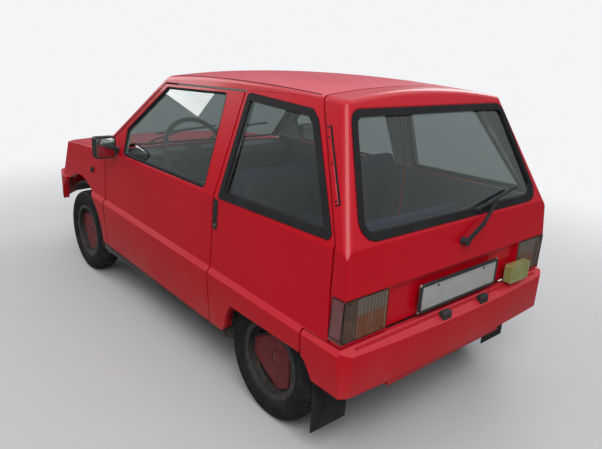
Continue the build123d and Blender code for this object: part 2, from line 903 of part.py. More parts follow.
wing_rear_x = door_front_x + shut_gap
wing_outline = [
    (wing_rear_x, door_front_z),
    (front_x, door_front_z),
    (front_x, over_z),
    (wing_rear_x, over_z),
]
front_arch = rod((front_axle_x, -beyond, arch_z), (front_axle_x, beyond, arch_z), arch_radius)
nose_room_x = front_axle_x + 187
indicator_box = block(
    (nose_room_x, front_x), (indicator_y_in, indicator_y_out), (lamp_z_low, lamp_z_high)
)
with BuildPart() as wing_left:
    add(front_shell.part)
    add(side_prism(wing_outline, bonnet_half + shut_gap / 2, beyond), mode=Mode.INTERSECT)
    add(front_arch, mode=Mode.SUBTRACT)
    add(block((front_axle_x + 87, front_x), (0, beyond), (0, nose_z)), mode=Mode.SUBTRACT)
    add(door_sweep.part, mode=Mode.SUBTRACT)

with BuildPart() as front_indicator_left:
    add(front_shell.part)
    add(indicator_box, mode=Mode.INTERSECT)

panel_half = bonnet_half + shut_gap / 2 - seat_gap
with BuildPart() as front_panel:
    add(front_shell.part)
    add(
        block(
            (nose_room_x, front_x), (-panel_half, panel_half), (nose_z, bonnet_front_z - shut_gap)
        ),
        mode=Mode.INTERSECT,
    )
    add(
        block(
            (nose_room_x, front_x),
            (-grille_half - seat_gap, grille_half + seat_gap),
            (grille_z_low - seat_gap, grille_z_high + seat_gap),
        ),
        mode=Mode.SUBTRACT,
    )
    for inside, outside in [(headlamp_y_in, headlamp_y_out), (indicator_y_in, indicator_y_out)]:
        for side in (-1, 1):
            low, high = sorted((side * (inside - seat_gap), side * (outside + seat_gap)))
            add(
                block((nose_room_x, front_x), (low, high), (lamp_z_low - seat_gap, lamp_z_high + seat_gap)),
                mode=Mode.SUBTRACT,
            )
front_panel.part.label = "front_panel"
export_step(front_panel.part, "parts/front_panel.step")

with BuildPart() as headlamps:
    add(front_outer.part)
    add(nose_prism(lamp_depth), mode=Mode.SUBTRACT)
    add(
        block((nose_room_x, front_x), (headlamp_y_in, headlamp_y_out), (lamp_z_low, lamp_z_high)),
        mode=Mode.INTERSECT,
    )
    mirror(about=Plane.XZ)
headlamps.part.label = "headlamps"
export_step(headlamps.part, "parts/headlamps.step")

# Grille: a frame with slats that follows the nose
slat_pitch = (grille_z_high - grille_z_low - grille_bar) / grille_bars
with BuildPart() as grille:
    add(nose_prism(2))
    add(nose_prism(2 + grille_depth), mode=Mode.SUBTRACT)
    add(
        block((nose_room_x, front_x), (-grille_half, grille_half), (grille_z_low, grille_z_high)),
        mode=Mode.INTERSECT,
    )
    with Locations(*[(nose_mid_x, 0, grille_z_low + grille_bar + slat_pitch * (i + 0.5) - grille_bar / 2)
                     for i in range(grille_bars)]):
        Box(400, 2 * grille_half - 2 * grille_bar, slat_pitch - grille_bar, mode=Mode.SUBTRACT)
grille.part.label = "grille"
export_step(grille.part, "parts/grille.step")

# Side repeater, a round lens on the wing's side
repeater_x, repeater_z, repeater_r = front_axle_x - 207, 700, 17
with BuildPart() as repeater_left:
    add(
        rod(
            (repeater_x, belt_y, repeater_z),
            (repeater_x, shoulder_y + 3, repeater_z),
            repeater_r,
        )
    )
    chamfer(repeater_left.faces().sort_by(Axis.Y)[-1].edges(), 4)
    add(front_outer.part, mode=Mode.SUBTRACT)


# Bumpers: a band seen from above, given as half of its plan from the middle to the side
def bumper_band(mid_x, half_plan, side_x, z_low, z_high, rounding):
    inward = -bumper_wall if mid_x > 0 else bumper_wall
    steps = [
        (0, 0, rounding, Mode.ADD),
        (inward, bumper_side_wall, rounding / 2, Mode.SUBTRACT),
    ]
    with BuildPart() as band:
        for shift, narrower, corner_round, mode in steps:
            half = [(x + shift, y - narrower) for x, y in half_plan]
            outline = [*half[1:], (side_x, half[-1][1])]
            with BuildSketch(Plane.XY.offset(z_low)) as plan:
                with BuildLine():
                    first = half[0]
                    arc = ThreePointArc((first[0], -first[1]), (mid_x + shift, 0), first)
                    Polyline(arc @ 1, *outline, *[(x, -y) for x, y in reversed(outline)], arc @ 0)
                make_face()
                corners = plan.vertices().filter_by(lambda vertex: abs(vertex.X - side_x) > 1)
                fillet(corners, corner_round)
            extrude(amount=z_high - z_low, mode=mode)
    return band.part


front_half_plan = [
    (front_x - 43, half_width - 128),
    (front_x - 125, half_width - 46),
    (front_x - 285, half_width),
]
with BuildPart() as bumper_front:
    add(
        bumper_band(
            front_x, front_half_plan, bumper_front_side_x, bumper_front_z_low, bumper_front_z_high, 36
        )
    )
    add(front_arch, mode=Mode.SUBTRACT)
bumper_front.part.label = "bumper_front"
export_step(bumper_front.part, "parts/bumper_front.step")

rear_arch_outline = [
    (rear_axle_x + 302, 0),
    *arch_front_edge,
    (rear_axle_x - 230, arch_top_z),
    (rear_axle_x - 264, 399),
    (rear_axle_x - 290, 358),
    (rear_axle_x - 312, 320),
    (rear_axle_x - 318, 0),
]
rear_half_plan = [(rear_x + 16, half_width - 42), (rear_x + 40, half_width)]
lip_y_low, lip_y_high, lip_height = -309, 428, 28
with BuildPart() as bumper_rear:
    add(
        bumper_band(
            rear_x, rear_half_plan, bumper_rear_side_x, bumper_rear_z_low, bumper_rear_z_high, 26
        )
    )
    add(side_body.part, mode=Mode.INTERSECT)
    add(
        side_prism(
            [
                (rear_x - 1, bumper_shelf_z),
                (rear_x + bumper_shelf_depth, bumper_rear_z_high),
                (rear_x + bumper_shelf_depth, over_z),
                (rear_x - 1, over_z),
            ],
            -beyond,
            beyond,
        ),
        mode=Mode.SUBTRACT,
    )
    add(side_prism(rear_arch_outline, -beyond, beyond), mode=Mode.SUBTRACT)
    add(
        block(
            (rear_x + 16, rear_x + 46),
            (lip_y_low, lip_y_high),
            (bumper_rear_z_low - lip_height, bumper_rear_z_low),
        )
    )
bumper_rear.part.label = "bumper_rear"
export_step(bumper_rear.part, "parts/bumper_rear.step")

with BuildPart() as plate_lamps:
    for y in (117, -141):
        add(block((rear_x + 6, rear_x + 30), (y - 26, y + 26), (bumper_shelf_z, bumper_rear_z_high + 6)))
    add(bumper_rear.part, mode=Mode.SUBTRACT)
plate_lamps.part.label = "plate_lamps"
export_step(plate_lamps.part, "parts/plate_lamps.step")

# Floor pan: front floor, heel step, bench floor, boot floor, end panel, sills and rear tubs
floor_line = [
    (bulkhead_x, floor_z),
    (heel_x, floor_z),
    (heel_x - 30, bench_floor_z),
    (boot_x, bench_floor_z),
    (boot_x - 30, boot_floor_z),
    (tail_x + 12, boot_floor_z),
]
floor_top = [
    (tail_x + 12, boot_floor_z + floor_thick),
    (boot_x - 20, boot_floor_z + floor_thick),
    (boot_x + 10, bench_floor_z + floor_thick),
    (heel_x - 20, bench_floor_z + floor_thick),
    (heel_x + 10, floor_z + floor_thick),
    (bulkhead_x, floor_z + floor_thick),
]
sill_section = [
    (tub_y, floor_z),
    (sill_in_y - 20, floor_z),
    (sill_out_y, sill_low_z),
    (sill_out_y, sill_high_z),
    (sill_in_y, sill_high_z),
    (sill_in_y, sill_top_z),
    (sill_in_y - 40, sill_top_z),
    (sill_in_y - 40, floor_z + floor_thick),
    (tub_y, floor_z + floor_thick),
]
panel_in_y = inner_y - seat_gap
tub_wall = 8
with BuildPart() as rear_tub:
    add(
        rod(
            (rear_axle_x, tub_y - tub_wall, tyre_radius),
            (rear_axle_x, panel_in_y, tyre_radius),
            tub_radius + tub_wall,
        )
    )
    add(
        rod((rear_axle_x, tub_y, tyre_radius), (rear_axle_x, beyond, tyre_radius), tub_radius),
        mode=Mode.SUBTRACT,
    )
    add(
        block((rear_x, 0), (0, beyond), (bench_floor_z, over_z)),
        mode=Mode.INTERSECT,
    )

with BuildPart() as floor_pan:
    add(side_prism([*floor_line, *floor_top], -tub_y, tub_y))
    add(end_prism(sill_section, heel_x - 60, bulkhead_x))
    add(end_prism([(-y, z) for y, z in sill_section], heel_x - 60, bulkhead_x))
    add(rear_tub.part)
    mirror(rear_tub.part, about=Plane.XZ)
    for side in (-1, 1):
        low, high = sorted((side * (tub_y - 1), side * panel_in_y))
        add(block((heel_x - 60, heel_x), (low, high), (sill_high_z + 11, bench_floor_z + floor_thick)))
        add(
            block(
                (tail_x + 12, rear_axle_x - tub_radius + 40),
                (low, high),
                (boot_floor_z, boot_floor_z + floor_thick),
            )
        )
    add(
        block(
            (rear_x + 30, tail_x + 20),
            (-panel_in_y, panel_in_y),
            (bumper_rear_z_low + 10, bumper_rear_z_high - 4),
        )
    )
    add(bumper_rear.part, mode=Mode.SUBTRACT)
    add(
        rod((rear_axle_x, tub_y, tyre_radius), (rear_axle_x, beyond, tyre_radius), tub_radius),
        mode=Mode.SUBTRACT,
    )
    add(
        rod((rear_axle_x, -beyond, tyre_radius), (rear_axle_x, -tub_y, tyre_radius), tub_radius),
        mode=Mode.SUBTRACT,
    )
floor_pan.part.label = "floor_pan"
export_step(floor_pan.part, "parts/floor_pan.step")

# Front structure: bulkhead, scuttle, door posts, rails, aprons and strut towers
post_in_y, post_high_z = half_width - 116, 805
rail_in_y, rail_out_y, rail_high_z = half_width - 376, half_width - 326, 240
front_cross_x = front_axle_x + 377
tow_eye_x, tow_eye_z, tow_eye_r = front_axle_x + 393, 215, 11
tow_eye_y = (half_width - 362, half_width - 350)
apron_high_z = 640
tower_half, tower_wall, tower_y = 70, 8, (rail_out_y, half_width - 191)
tower_top_z = strut_top_z + seat_gap
scuttle_z = 700
splash_thick, splash_z = 6, 350
ring_front_z = 470
bonnet_cut_y = bonnet_edge + swing_gap
bonnet_sweep_r = sqrt(30**2 + (bonnet_peak_z - bonnet_hinge_z) ** 2) + swing_gap
with BuildPart() as front_side_left:
    add(block((bulkhead_x, front_cross_x), (rail_in_y, rail_out_y), (floor_z, rail_high_z)))
    add(block((bulkhead_x, front_cross_x), (rail_out_y, front_tub_y), (floor_z, apron_high_z)))
    add(
        rod(
            (front_axle_x, front_tub_y - 4, tyre_radius),
            (front_axle_x, wing_inner_y - seat_gap, tyre_radius),
            front_tub_radius + tub_wall,
        )
    )
    add(
        block(
            (front_axle_x - tower_half, front_axle_x + tower_half),
            tower_y,
            (tyre_radius + front_tub_radius - 30, tower_top_z + tower_wall),
        )
    )
    add(
        rod(
            (front_axle_x, front_tub_y, tyre_radius), (front_axle_x, beyond, tyre_radius), front_tub_radius
        ),
        mode=Mode.SUBTRACT,
    )
    add(
        block(
            (front_axle_x - tower_half + tower_wall, front_axle_x + tower_half - tower_wall),
            (tower_y[0] + tower_wall, tower_y[1] - tower_wall),
            (tyre_radius, tower_top_z),
        ),
        mode=Mode.SUBTRACT,
    )
    add(block((0, bulkhead_x), (0, beyond), (-beyond, over_z)), mode=Mode.SUBTRACT)
    add(block((0, front_x), (front_tub_y, beyond), (-beyond, sill_high_z + seat_gap)), mode=Mode.SUBTRACT)
    add(block((0, front_x), (0, beyond), (-beyond, floor_z)), mode=Mode.SUBTRACT)
    add(
        rod((front_axle_x, rail_in_y - 1, tyre_radius), (front_axle_x, front_tub_y + 1, tyre_radius), 34),
        mode=Mode.SUBTRACT,
    )
    add(
        block((front_axle_x + tower_half, front_x), (front_tub_y, beyond), (0, ring_front_z)),
        mode=Mode.SUBTRACT,
    )
    add(
        block(
            (post_x, bulkhead_x),
            (post_in_y, wing_inner_y - seat_gap),
            (sill_high_z + seat_gap, post_high_z),
        )
    )
    add(
        block((post_x, bulkhead_x), (0, sill_in_y + seat_gap), (0, sill_top_z + seat_gap)),
        mode=Mode.SUBTRACT,
    )
    add(rod(on_kingpin(strut_top_z - 6 + seat_gap), on_kingpin(tower_top_z + tower_wall), ball_r))

wheel_room = rod(
    (front_axle_x, front_tub_y, tyre_radius), (front_axle_x, beyond, tyre_radius), front_tub_radius
)
with BuildPart() as scuttle:
    add(bonnet_dome(3))
    add(
        block(
            (screen_foot_x + seat_gap, bulkhead_x + bulkhead_thick),
            (-panel_half, panel_half),
            (scuttle_z, over_z),
        ),
        mode=Mode.INTERSECT,
    )
    add(block((bonnet_rear_x - shut_gap, front_x), (-beyond, beyond), (740, over_z)), mode=Mode.SUBTRACT)
    add(
        rod(
            (bonnet_hinge_x, -beyond, bonnet_hinge_z), (bonnet_hinge_x, beyond, bonnet_hinge_z), bonnet_sweep_r
        ),
        mode=Mode.SUBTRACT,
    )

with BuildPart() as front_structure:
    add(front_side_left.part)
    mirror(front_side_left.part, about=Plane.XZ)
    add(scuttle.part)
    add(
        block(
            (bulkhead_x, bulkhead_x + bulkhead_thick),
            (-wing_inner_y + seat_gap, wing_inner_y - seat_gap),
            (floor_z, scuttle_z + 12),
        )
    )
    add(wheel_room, mode=Mode.SUBTRACT)
    add(mirror(wheel_room, about=Plane.XZ, mode=Mode.PRIVATE), mode=Mode.SUBTRACT)
    add(
        rod(
            (bonnet_hinge_x, -bonnet_cut_y, bonnet_hinge_z),
            (bonnet_hinge_x, bonnet_cut_y, bonnet_hinge_z),
            bonnet_sweep_r,
        ),
        mode=Mode.SUBTRACT,
    )
    add(block((front_cross_x - 14, front_cross_x), (-rail_out_y, rail_out_y), (floor_z, 560)))
    add(rod((tow_eye_x, tow_eye_y[0], tow_eye_z), (tow_eye_x, tow_eye_y[1], tow_eye_z), tow_eye_r + 13))
    add(
        rod((tow_eye_x, tow_eye_y[0], tow_eye_z), (tow_eye_x, tow_eye_y[1], tow_eye_z), tow_eye_r),
        mode=Mode.SUBTRACT,
    )
    for side in (-1, 1):
        low, high = sorted((side * (rail_in_y - 70), side * (rail_in_y - 30)))
        add(block((front_cross_x - 2, front_x - bumper_wall), (low, high), (450, 500)))
        low, high = sorted((side * (front_tub_y - 1), side * (wing_inner_y - seat_gap)))
        add(block((bulkhead_x, bulkhead_x + splash_thick), (low, high), (floor_z, splash_z)))
    add(bumper_front.part, mode=Mode.SUBTRACT)
    for side in (-1, 1):
        low, high = sorted((side * (bonnet_hinge_y - 26), side * (bonnet_hinge_y - 8.6)))
        add(block((bonnet_hinge_x - 8, bonnet_hinge_x + 8), (low, high), (700, bonnet_hinge_z + 7)))
        add(
            rod(
                (bonnet_hinge_x, side * (bonnet_hinge_y - 26), bonnet_hinge_z),
                (bonnet_hinge_x, side * (bonnet_hinge_y + 8), bonnet_hinge_z),
                hinge_pin_r,
            )
        )
front_structure.part.label = "front_structure"
export_step(front_structure.part, "parts/front_structure.step")

# Door hinges: a pin on the door's axis and an arm back to the door post
with BuildPart() as door_hinges:
    for z in hinge_zs:
        arm_z = (z - 9, z + 9)
        half_arm = hinge_arm / 2
        add(
            rod(
                (hinge_x, hinge_y, z - hinge_pin_length / 2),
                (hinge_x, hinge_y, z + hinge_pin_length / 2),
                hinge_pin_r,
            )
        )
        add(block((hinge_x - half_arm, hinge_x + half_arm), (hinge_arm_y, hinge_y + half_arm), arm_z))
        add(
            block(
                (hinge_x - half_arm, post_x - seat_gap), (hinge_arm_y - half_arm, hinge_arm_y + half_arm), arm_z
            )
        )
    mirror(about=Plane.XZ)
door_hinges.part.label = "door_hinges"
export_step(door_hinges.part, "parts/door_hinges.step")

# Pieces that come in pairs, each its own node
for name, left in [
    ("door", door_left),
    ("door_glass", door_glass_left),
    ("mirror", mirror_left),
    ("quarter", quarter_left),
    ("wing", wing_left),
]:
    right = mirror(left.part, about=Plane.XZ)
    for side, piece in [("left", left.part), ("right", right)]:
        piece.label = f"{name}_{side}"
        export_step(piece, f"parts/{name}_{side}.step")

# Pairs on the body that share a node
for name, left in [
    ("quarter_seals", quarter_seal_left),
    ("quarter_glass", quarter_glass_left),
    ("front_indicators", front_indicator_left),
    ("side_repeaters", repeater_left),
]:
    with BuildPart() as pair:
        add(left.part)
        mirror(about=Plane.XZ)
    pair.part.label = name
    export_step(pair.part, f"parts/{name}.step")

# Front axle frame: cross member, arms with a ball pin, drive shafts
arm_z_low, arm_z_high = 158, 174
engine_half_low, engine_half_high = 426 - half_width, half_width - 436
arm_root_y, arm_tip_y = rail_in_y - 20, kingpin_y + 15
cv_r = 15
with BuildPart() as arm_left:
    with BuildSketch(Plane.XY.offset(arm_z_low)):
        with BuildLine():
            Polyline(
                (front_axle_x - 95, arm_root_y),
                (front_axle_x + 95, arm_root_y),
                (front_axle_x + 10, arm_tip_y),
                (front_axle_x - 10, arm_tip_y),
                close=True,
            )
        make_face()
    extrude(amount=arm_z_high - arm_z_low)
    with BuildSketch(Plane.XY.offset(arm_z_low)):
        with BuildLine():
            Polyline(
                (front_axle_x - 50, arm_root_y + 40),
                (front_axle_x + 50, arm_root_y + 40),
                (front_axle_x + 12, kingpin_y - 55),
                (front_axle_x - 12, kingpin_y - 55),
                close=True,
            )
        make_face()
    extrude(amount=arm_z_high - arm_z_low, mode=Mode.SUBTRACT)
    add(rod(on_kingpin(arm_z_low + 4), on_kingpin(kingpin_z - seat_gap), ball_r))

with BuildPart() as front_axle:
    add(arm_left.part)
    mirror(about=Plane.XZ)
    cross_half = rail_in_y + 20
    add(block((front_axle_x - 60, front_axle_x + 60), (-cross_half, cross_half), (152, floor_z - seat_gap)))
    for side in (-1, 1):
        inner_end = (engine_half_high if side > 0 else -engine_half_low) + seat_gap
        add(
            rod(
                (front_axle_x, side * inner_end, tyre_radius),
                (front_axle_x, side * on_kingpin(tyre_radius)[1], tyre_radius),
                11,
            )
        )
        with Locations((front_axle_x, side * on_kingpin(tyre_radius)[1], tyre_radius)):
            Sphere(cv_r)
front_axle.part.label = "front_axle"
export_step(front_axle.part, "parts/front_axle.step")

# Steering knuckles: ball joint stem, hub ring with drum and stub, strut
drum_r, drum_in, drum_out = 92, -27, -9
with BuildPart() as knuckle_left:
    hub_y = wheel_y_front + drum_in - 14
    add(rod(on_kingpin(kingpin_z), on_kingpin(kingpin_z + 18), ball_r))
    add(bar(on_kingpin(kingpin_z + 10), (front_axle_x, hub_y + 8, kingpin_z + 34), 44, 14, (1, 0, 0)))
    add(rod((front_axle_x, hub_y, tyre_radius), (front_axle_x, wheel_y_front + drum_in, tyre_radius), 46))
    add(
        rod(
            (front_axle_x, wheel_y_front + drum_in, tyre_radius),
            (front_axle_x, wheel_y_front + drum_out, tyre_radius),
            drum_r,
        )
    )
    add(
        rod(
            (front_axle_x, wheel_y_front + drum_out, tyre_radius),
            (front_axle_x, wheel_y_front + 24, tyre_radius),
            hub_bore_r - run_gap,
        )
    )
    add(bar((front_axle_x, hub_y + 8, tyre_radius + 34), on_kingpin(tyre_radius + 84), 44, 16, (1, 0, 0)))
    add(rod(on_kingpin(tyre_radius + 76), on_kingpin(strut_top_z - 6), strut_r))
    add(rod(on_kingpin(strut_top_z - 100), on_kingpin(strut_top_z - 6), damper_r))
    add(rod((front_axle_x, 0, tyre_radius), (front_axle_x, hub_y - 1, tyre_radius), 40), mode=Mode.SUBTRACT)

for side, piece in [
    ("left", knuckle_left.part),
    ("right", mirror(knuckle_left.part, about=Plane.XZ)),
]:
    piece.label = f"knuckle_{side}"
    export_step(piece, f"parts/knuckle_{side}.step")

# Wheels, made about an upright middle plane with their outside towards +Y
disc_in, disc_out = 14, 20
centre_thick = 10
vent_radius, vent_margin = 137, 8
tyre_shoulder_r, tyre_bulge_r = 241, 206
with BuildPart() as tyre_ring:
    bead = rim_half_width - 5
    half_section = [
        (rim_barrel_radius, bead),
        (rim_radius + 1, bead),
        (rim_radius + 5, tyre_width / 2 - 9),
        (tyre_bulge_r, tyre_width / 2),
        (tyre_shoulder_r, tyre_width / 2 - 8),
        (tyre_radius, tyre_width / 2 - 26),
    ]
    with BuildSketch(Plane.XY):
        with BuildLine():
            Polyline(*half_section, *[(r, -y) for r, y in reversed(half_section)], close=True)
        make_face()
    revolve(axis=Axis.Y)


def wheel_plane(y):
    # Seen from outside: local x is up, local y is forward.
    return Plane(origin=(0, y, 0), x_dir=(0, 0, 1), z_dir=(0, 1, 0))


chord = lobe_apothem + vent_margin
half_chord = sqrt(vent_radius**2 - chord**2)
half_tip = (2 * lobe_apothem - lobe_tip) * tan(radians(30))
tip_turn = degrees(atan2(half_tip, lobe_tip))
lobe_corners = [
    (hypot(lobe_tip, half_tip) * cos(radians(angle)), hypot(lobe_tip, half_tip) * sin(radians(angle)))
    for tip in (60, 180, 300)
    for angle in (tip - tip_turn, tip + tip_turn)
]
barrel_in = rim_barrel_radius - 7
with BuildSketch() as vent:
    with BuildLine():
        ThreePointArc((chord, -half_chord), (vent_radius, 0), (chord, half_chord))
        Line((chord, half_chord), (chord, -half_chord))
    make_face()
    fillet(vent.vertices(), 6)

with BuildPart() as rim_body:
    wide = rim_half_width
    with BuildSketch(Plane.XY):
        with BuildLine():
            Polyline(
                (hub_bore_r, disc_in - 12),
                (52, disc_in - 12),
                (60, disc_in),
                (barrel_in, disc_in),
                (barrel_in, -wide + 1),
                (rim_radius, -wide + 1),
                (rim_radius, -wide + 5),
                (rim_barrel_radius, -wide + 5),
                (rim_barrel_radius, wide - 5),
                (rim_radius, wide - 5),
                (rim_radius, wide - 1),
                (barrel_in, wide - 1),
                (barrel_in, disc_out),
                (hub_bore_r, disc_out),
                close=True,
            )
        make_face()
    revolve(axis=Axis.Y)
    with BuildSketch(wheel_plane(disc_out + 1)):
        with PolarLocations(0, 3):
            add(vent.sketch)
    extrude(amount=-20, mode=Mode.SUBTRACT)

with BuildPart() as lobed_centre:
    with BuildSketch(wheel_plane(disc_out)) as lobes:
        with BuildLine():
            Polyline(*lobe_corners, close=True)
        make_face()
        fillet(lobes.vertices(), 12)
    extrude(amount=centre_thick)
    chamfer(lobed_centre.faces().sort_by(Axis.Y)[-1].outer_wire().edges(), 4)
    with BuildSketch(wheel_plane(disc_out)):
        with PolarLocations(bolt_circle / 2, 4, start_angle=45):
            Circle(bolt_hole_r)
        Circle(hub_bore_r)
    extrude(amount=centre_thick, mode=Mode.SUBTRACT)

with BuildPart() as rim_whole:
    add(rim_body.part)
    add(lobed_centre.part)

# End, axle place, distance from the middle, side, turn of the lobes
wheel_table = [
    ("front", front_axle_x, wheel_y_front, "left", 120),
    ("front", front_axle_x, wheel_y_front, "right", 20),
    ("rear", rear_axle_x, wheel_y_rear, "left", 30),
    ("rear", rear_axle_x, wheel_y_rear, "right", 75),
]
for end, axle_x, wheel_y, side, turn in wheel_table:
    for name, made in [("tyre", tyre_ring.part), ("rim", rim_whole.part)]:
        piece = Pos(axle_x, wheel_y, tyre_radius) * made.rotate(Axis.Y, turn)
        if side == "right":
            piece = mirror(piece, about=Plane.XZ)
        piece.label = f"{name}_{end}_{side}"
        export_step(piece, f"parts/{piece.label}.step")

# Rear axle: cross tube, trailing arms with drums and stubs, springs, brackets
axle_tube_x, axle_tube_z, axle_tube_r = rear_axle_x + 242, 232, 24
arm_y = half_width - 236
with BuildPart() as rear_axle_left:
    add(rod((axle_tube_x, -1, axle_tube_z), (axle_tube_x, arm_y, axle_tube_z), axle_tube_r))
    add(bar((axle_tube_x, arm_y, axle_tube_z), (rear_axle_x, arm_y, tyre_radius), 30, 44))
    stub_start = (rear_axle_x, arm_y - 16, tyre_radius)
    add(rod(stub_start, (rear_axle_x, wheel_y_rear + drum_in, tyre_radius), 28))
    add(
        rod(
            (rear_axle_x, wheel_y_rear + drum_in, tyre_radius),
            (rear_axle_x, wheel_y_rear + drum_out, tyre_radius),
            drum_r,
        )
    )
    add(
        rod(
            (rear_axle_x, wheel_y_rear + drum_out, tyre_radius),
            (rear_axle_x, wheel_y_rear + 24, tyre_radius),
            hub_bore_r - run_gap,
        )
    )
    add(rod((rear_axle_x + 30, arm_y, tyre_radius), (rear_axle_x + 30, arm_y, bench_floor_z - seat_gap), 16))
    add(
        block(
            (axle_tube_x - 20, axle_tube_x + 20), (arm_y - 150, arm_y - 120), (axle_tube_z, bench_floor_z - seat_gap)
        )
    )

with BuildPart() as rear_axle:
    add(rear_axle_left.part)
    mirror(about=Plane.XZ)
rear_axle.part.label = "rear_axle"
export_step(rear_axle.part, "parts/rear_axle.step")

# Mudflaps behind the rear wheels
flap_x, flap_thick, flap_low_z = rear_axle_x - 306, 5, 112
with BuildPart() as mudflaps:
    add(
        end_prism(
            [
                (tub_y + 6, flap_low_z),
                (half_width - 21, flap_low_z),
                (half_width - 21, 322),
                (inner_y - 4, 322),
                (inner_y - 4, boot_floor_z - seat_gap),
                (tub_y + 6, boot_floor_z - seat_gap),
            ],
            flap_x,
            flap_x + flap_thick,
        )
    )
    mirror(about=Plane.XZ)
mudflaps.part.label = "mudflaps"
export_step(mudflaps.part, "parts/mudflaps.step")

# Engine as one plain block, and the exhaust below the floor
engine_x = (front_axle_x - 141, front_axle_x + 155)
with BuildPart() as engine_block:
    add(block(engine_x, (engine_half_low, engine_half_high), (floor_z, 600)))
    fillet(engine_block.edges().filter_by(Axis.Y), 30)
engine_block.part.label = "engine_block"
export_step(engine_block.part, "parts/engine_block.step")

pipe_y, pipe_z, pipe_r = -130, 162, 17
silencer_x, silencer_z, silencer_r = (rear_x + 90, rear_x + 355), 290, 66
pipe_front_x, pipe_rear_x = front_axle_x - 173, rear_axle_x + 102
with BuildPart() as exhaust:
    add(rod((pipe_front_x, pipe_y, pipe_z), (pipe_rear_x, pipe_y, pipe_z), pipe_r))
    add(rod((pipe_front_x, pipe_y, pipe_z - 5), (pipe_front_x, pipe_y, 300), pipe_r))
    add(rod((pipe_front_x - 5, pipe_y, 300), (engine_x[0] - seat_gap, pipe_y, 300), pipe_r))
    add(rod((pipe_rear_x + 5, pipe_y, pipe_z), (silencer_x[1] - 20, pipe_y, silencer_z), pipe_r))
    add(rod((silencer_x[0], pipe_y, silencer_z), (silencer_x[1], pipe_y, silencer_z), silencer_r))
    add(
        block(
            ((silencer_x[0] + silencer_x[1]) / 2 - 15, (silencer_x[0] + silencer_x[1]) / 2 + 15),
            (pipe_y - 10, pipe_y + 10),
            (silencer_z, boot_floor_z - seat_gap),
        )
    )
exhaust.part.label = "exhaust"
export_step(exhaust.part, "parts/exhaust.step")

# Cabin: dashboard, steering wheel, front seats, rear bench
with BuildPart() as dashboard:
    add(
        side_prism(
            [
                (bulkhead_x - seat_gap, 560),
                (bulkhead_x - seat_gap, scuttle_z - seat_gap),
                (screen_foot_x - 4, scuttle_z - seat_gap),
                (screen_foot_x - 4, 812),
                (screen_foot_x - 36, 838),
                (screen_foot_x - 186, 838),
                (screen_foot_x - 221, 800),
                (screen_foot_x - 211, 660),
                (screen_foot_x - 126, 600),
            ],
            -post_in_y + 1,
            post_in_y - 1,
        )
    )
    near_edges = dashboard.edges().filter_by(Axis.Y)
    fillet(near_edges.filter_by(lambda edge: edge.center().X < screen_foot_x - 156), 14)
dashboard.part.label = "dashboard"
export_step(dashboard.part, "parts/dashboard.step")

wheel_centre = (screen_foot_x - 446, half_width - 376, 885)
steer_ring_r, steer_tube_r, steer_tilt = 180, 13, 25
column_way = Vector(cos(radians(steer_tilt)), 0, -sin(radians(steer_tilt)))
wheel_up = (sin(radians(steer_tilt)), 0, cos(radians(steer_tilt)))
column_length = 256
column_end = Vector(*wheel_centre) + column_way * column_length
with BuildPart() as steering_wheel:
    wheel_face = Plane(origin=wheel_centre, x_dir=(0, 1, 0), z_dir=column_way)
    with BuildSketch(Plane(origin=wheel_centre, x_dir=(0, 1, 0), z_dir=wheel_up)):
        with Locations((steer_ring_r, 0)):
            RegularPolygon(steer_tube_r, 8)
    revolve(axis=Axis(wheel_centre, column_way))
    with BuildSketch(wheel_face):
        Rectangle(2 * steer_ring_r, 30)
        Circle(46)
    extrude(amount=14)
    add(rod(wheel_centre, tuple(column_end), 20))
    add(dashboard.part, mode=Mode.SUBTRACT)
steering_wheel.part.label = "steering_wheel"
export_step(steering_wheel.part, "parts/steering_wheel.step")

seat_y, seat_half = half_width - 386, 230
seat_line = [(40, 330), (40, 450), (-60, 470), (-395, 420), (-555, 960), (-640, 950), (-520, 330)]
with BuildPart() as seats_front:
    add(side_prism(seat_line, seat_y - seat_half, seat_y + seat_half, rounding=28))
    seat_foot = floor_z + floor_thick + seat_gap
    add(block((-420, -20), (seat_y - 150, seat_y + 150), (seat_foot, 335)))
    mirror(about=Plane.XZ)
seats_front.part.label = "seats_front"
export_step(seats_front.part, "parts/seats_front.step")

bench_half = tub_y - tub_wall - 8
bench_line = [
    (heel_x - 60, 370),
    (heel_x - 60, 470),
    (boot_x + 140, 452),
    (boot_x + 40, 800),
    (boot_x - 20, 795),
    (boot_x + 60, 370),
]
bench_base = bench_floor_z + floor_thick + seat_gap
with BuildPart() as rear_bench:
    add(side_prism(bench_line, -bench_half, bench_half, rounding=20))
    add(block((boot_x + 80, heel_x - 80), (-bench_half + 60, bench_half - 60), (bench_base, 400)))
rear_bench.part.label = "rear_bench"
export_step(rear_bench.part, "parts/rear_bench.step")

# Windscreen wipers: spindles on the scuttle, arms and blades in front of the screen
wiper_lift, blade_lift, blade_half, blade_lean = 16, 11, 190, 20
spindle_x, blade_x = screen_foot_x + 22, screen_foot_x - 86
with BuildPart() as wipers_front:
    for spindle_y, blade_y in [(330, 150), (-90, -250)]:
        arm_start = (spindle_x, spindle_y, bonnet_peak_z + 20)
        arm_end = (blade_x, blade_y, screen_z(blade_x) + wiper_lift)
        low_x, high_x = blade_x - blade_lean, blade_x + blade_lean
        blade_start = (low_x, blade_y - blade_half, screen_z(low_x) + blade_lift)
        blade_end = (high_x, blade_y + blade_half, screen_z(high_x) + blade_lift)
        add(
            rod(
                (spindle_x, spindle_y, bonnet_peak_z - 12), (spindle_x, spindle_y, bonnet_peak_z + 24), 9
            )
        )
        add(bar(arm_start, arm_end, 10, 6, (0, 0, 1)))
        add(bar(blade_start, blade_end, 8, 12, (1, 0, 0)))
    add(front_structure.part, mode=Mode.SUBTRACT)
wipers_front.part.label = "wipers_front"
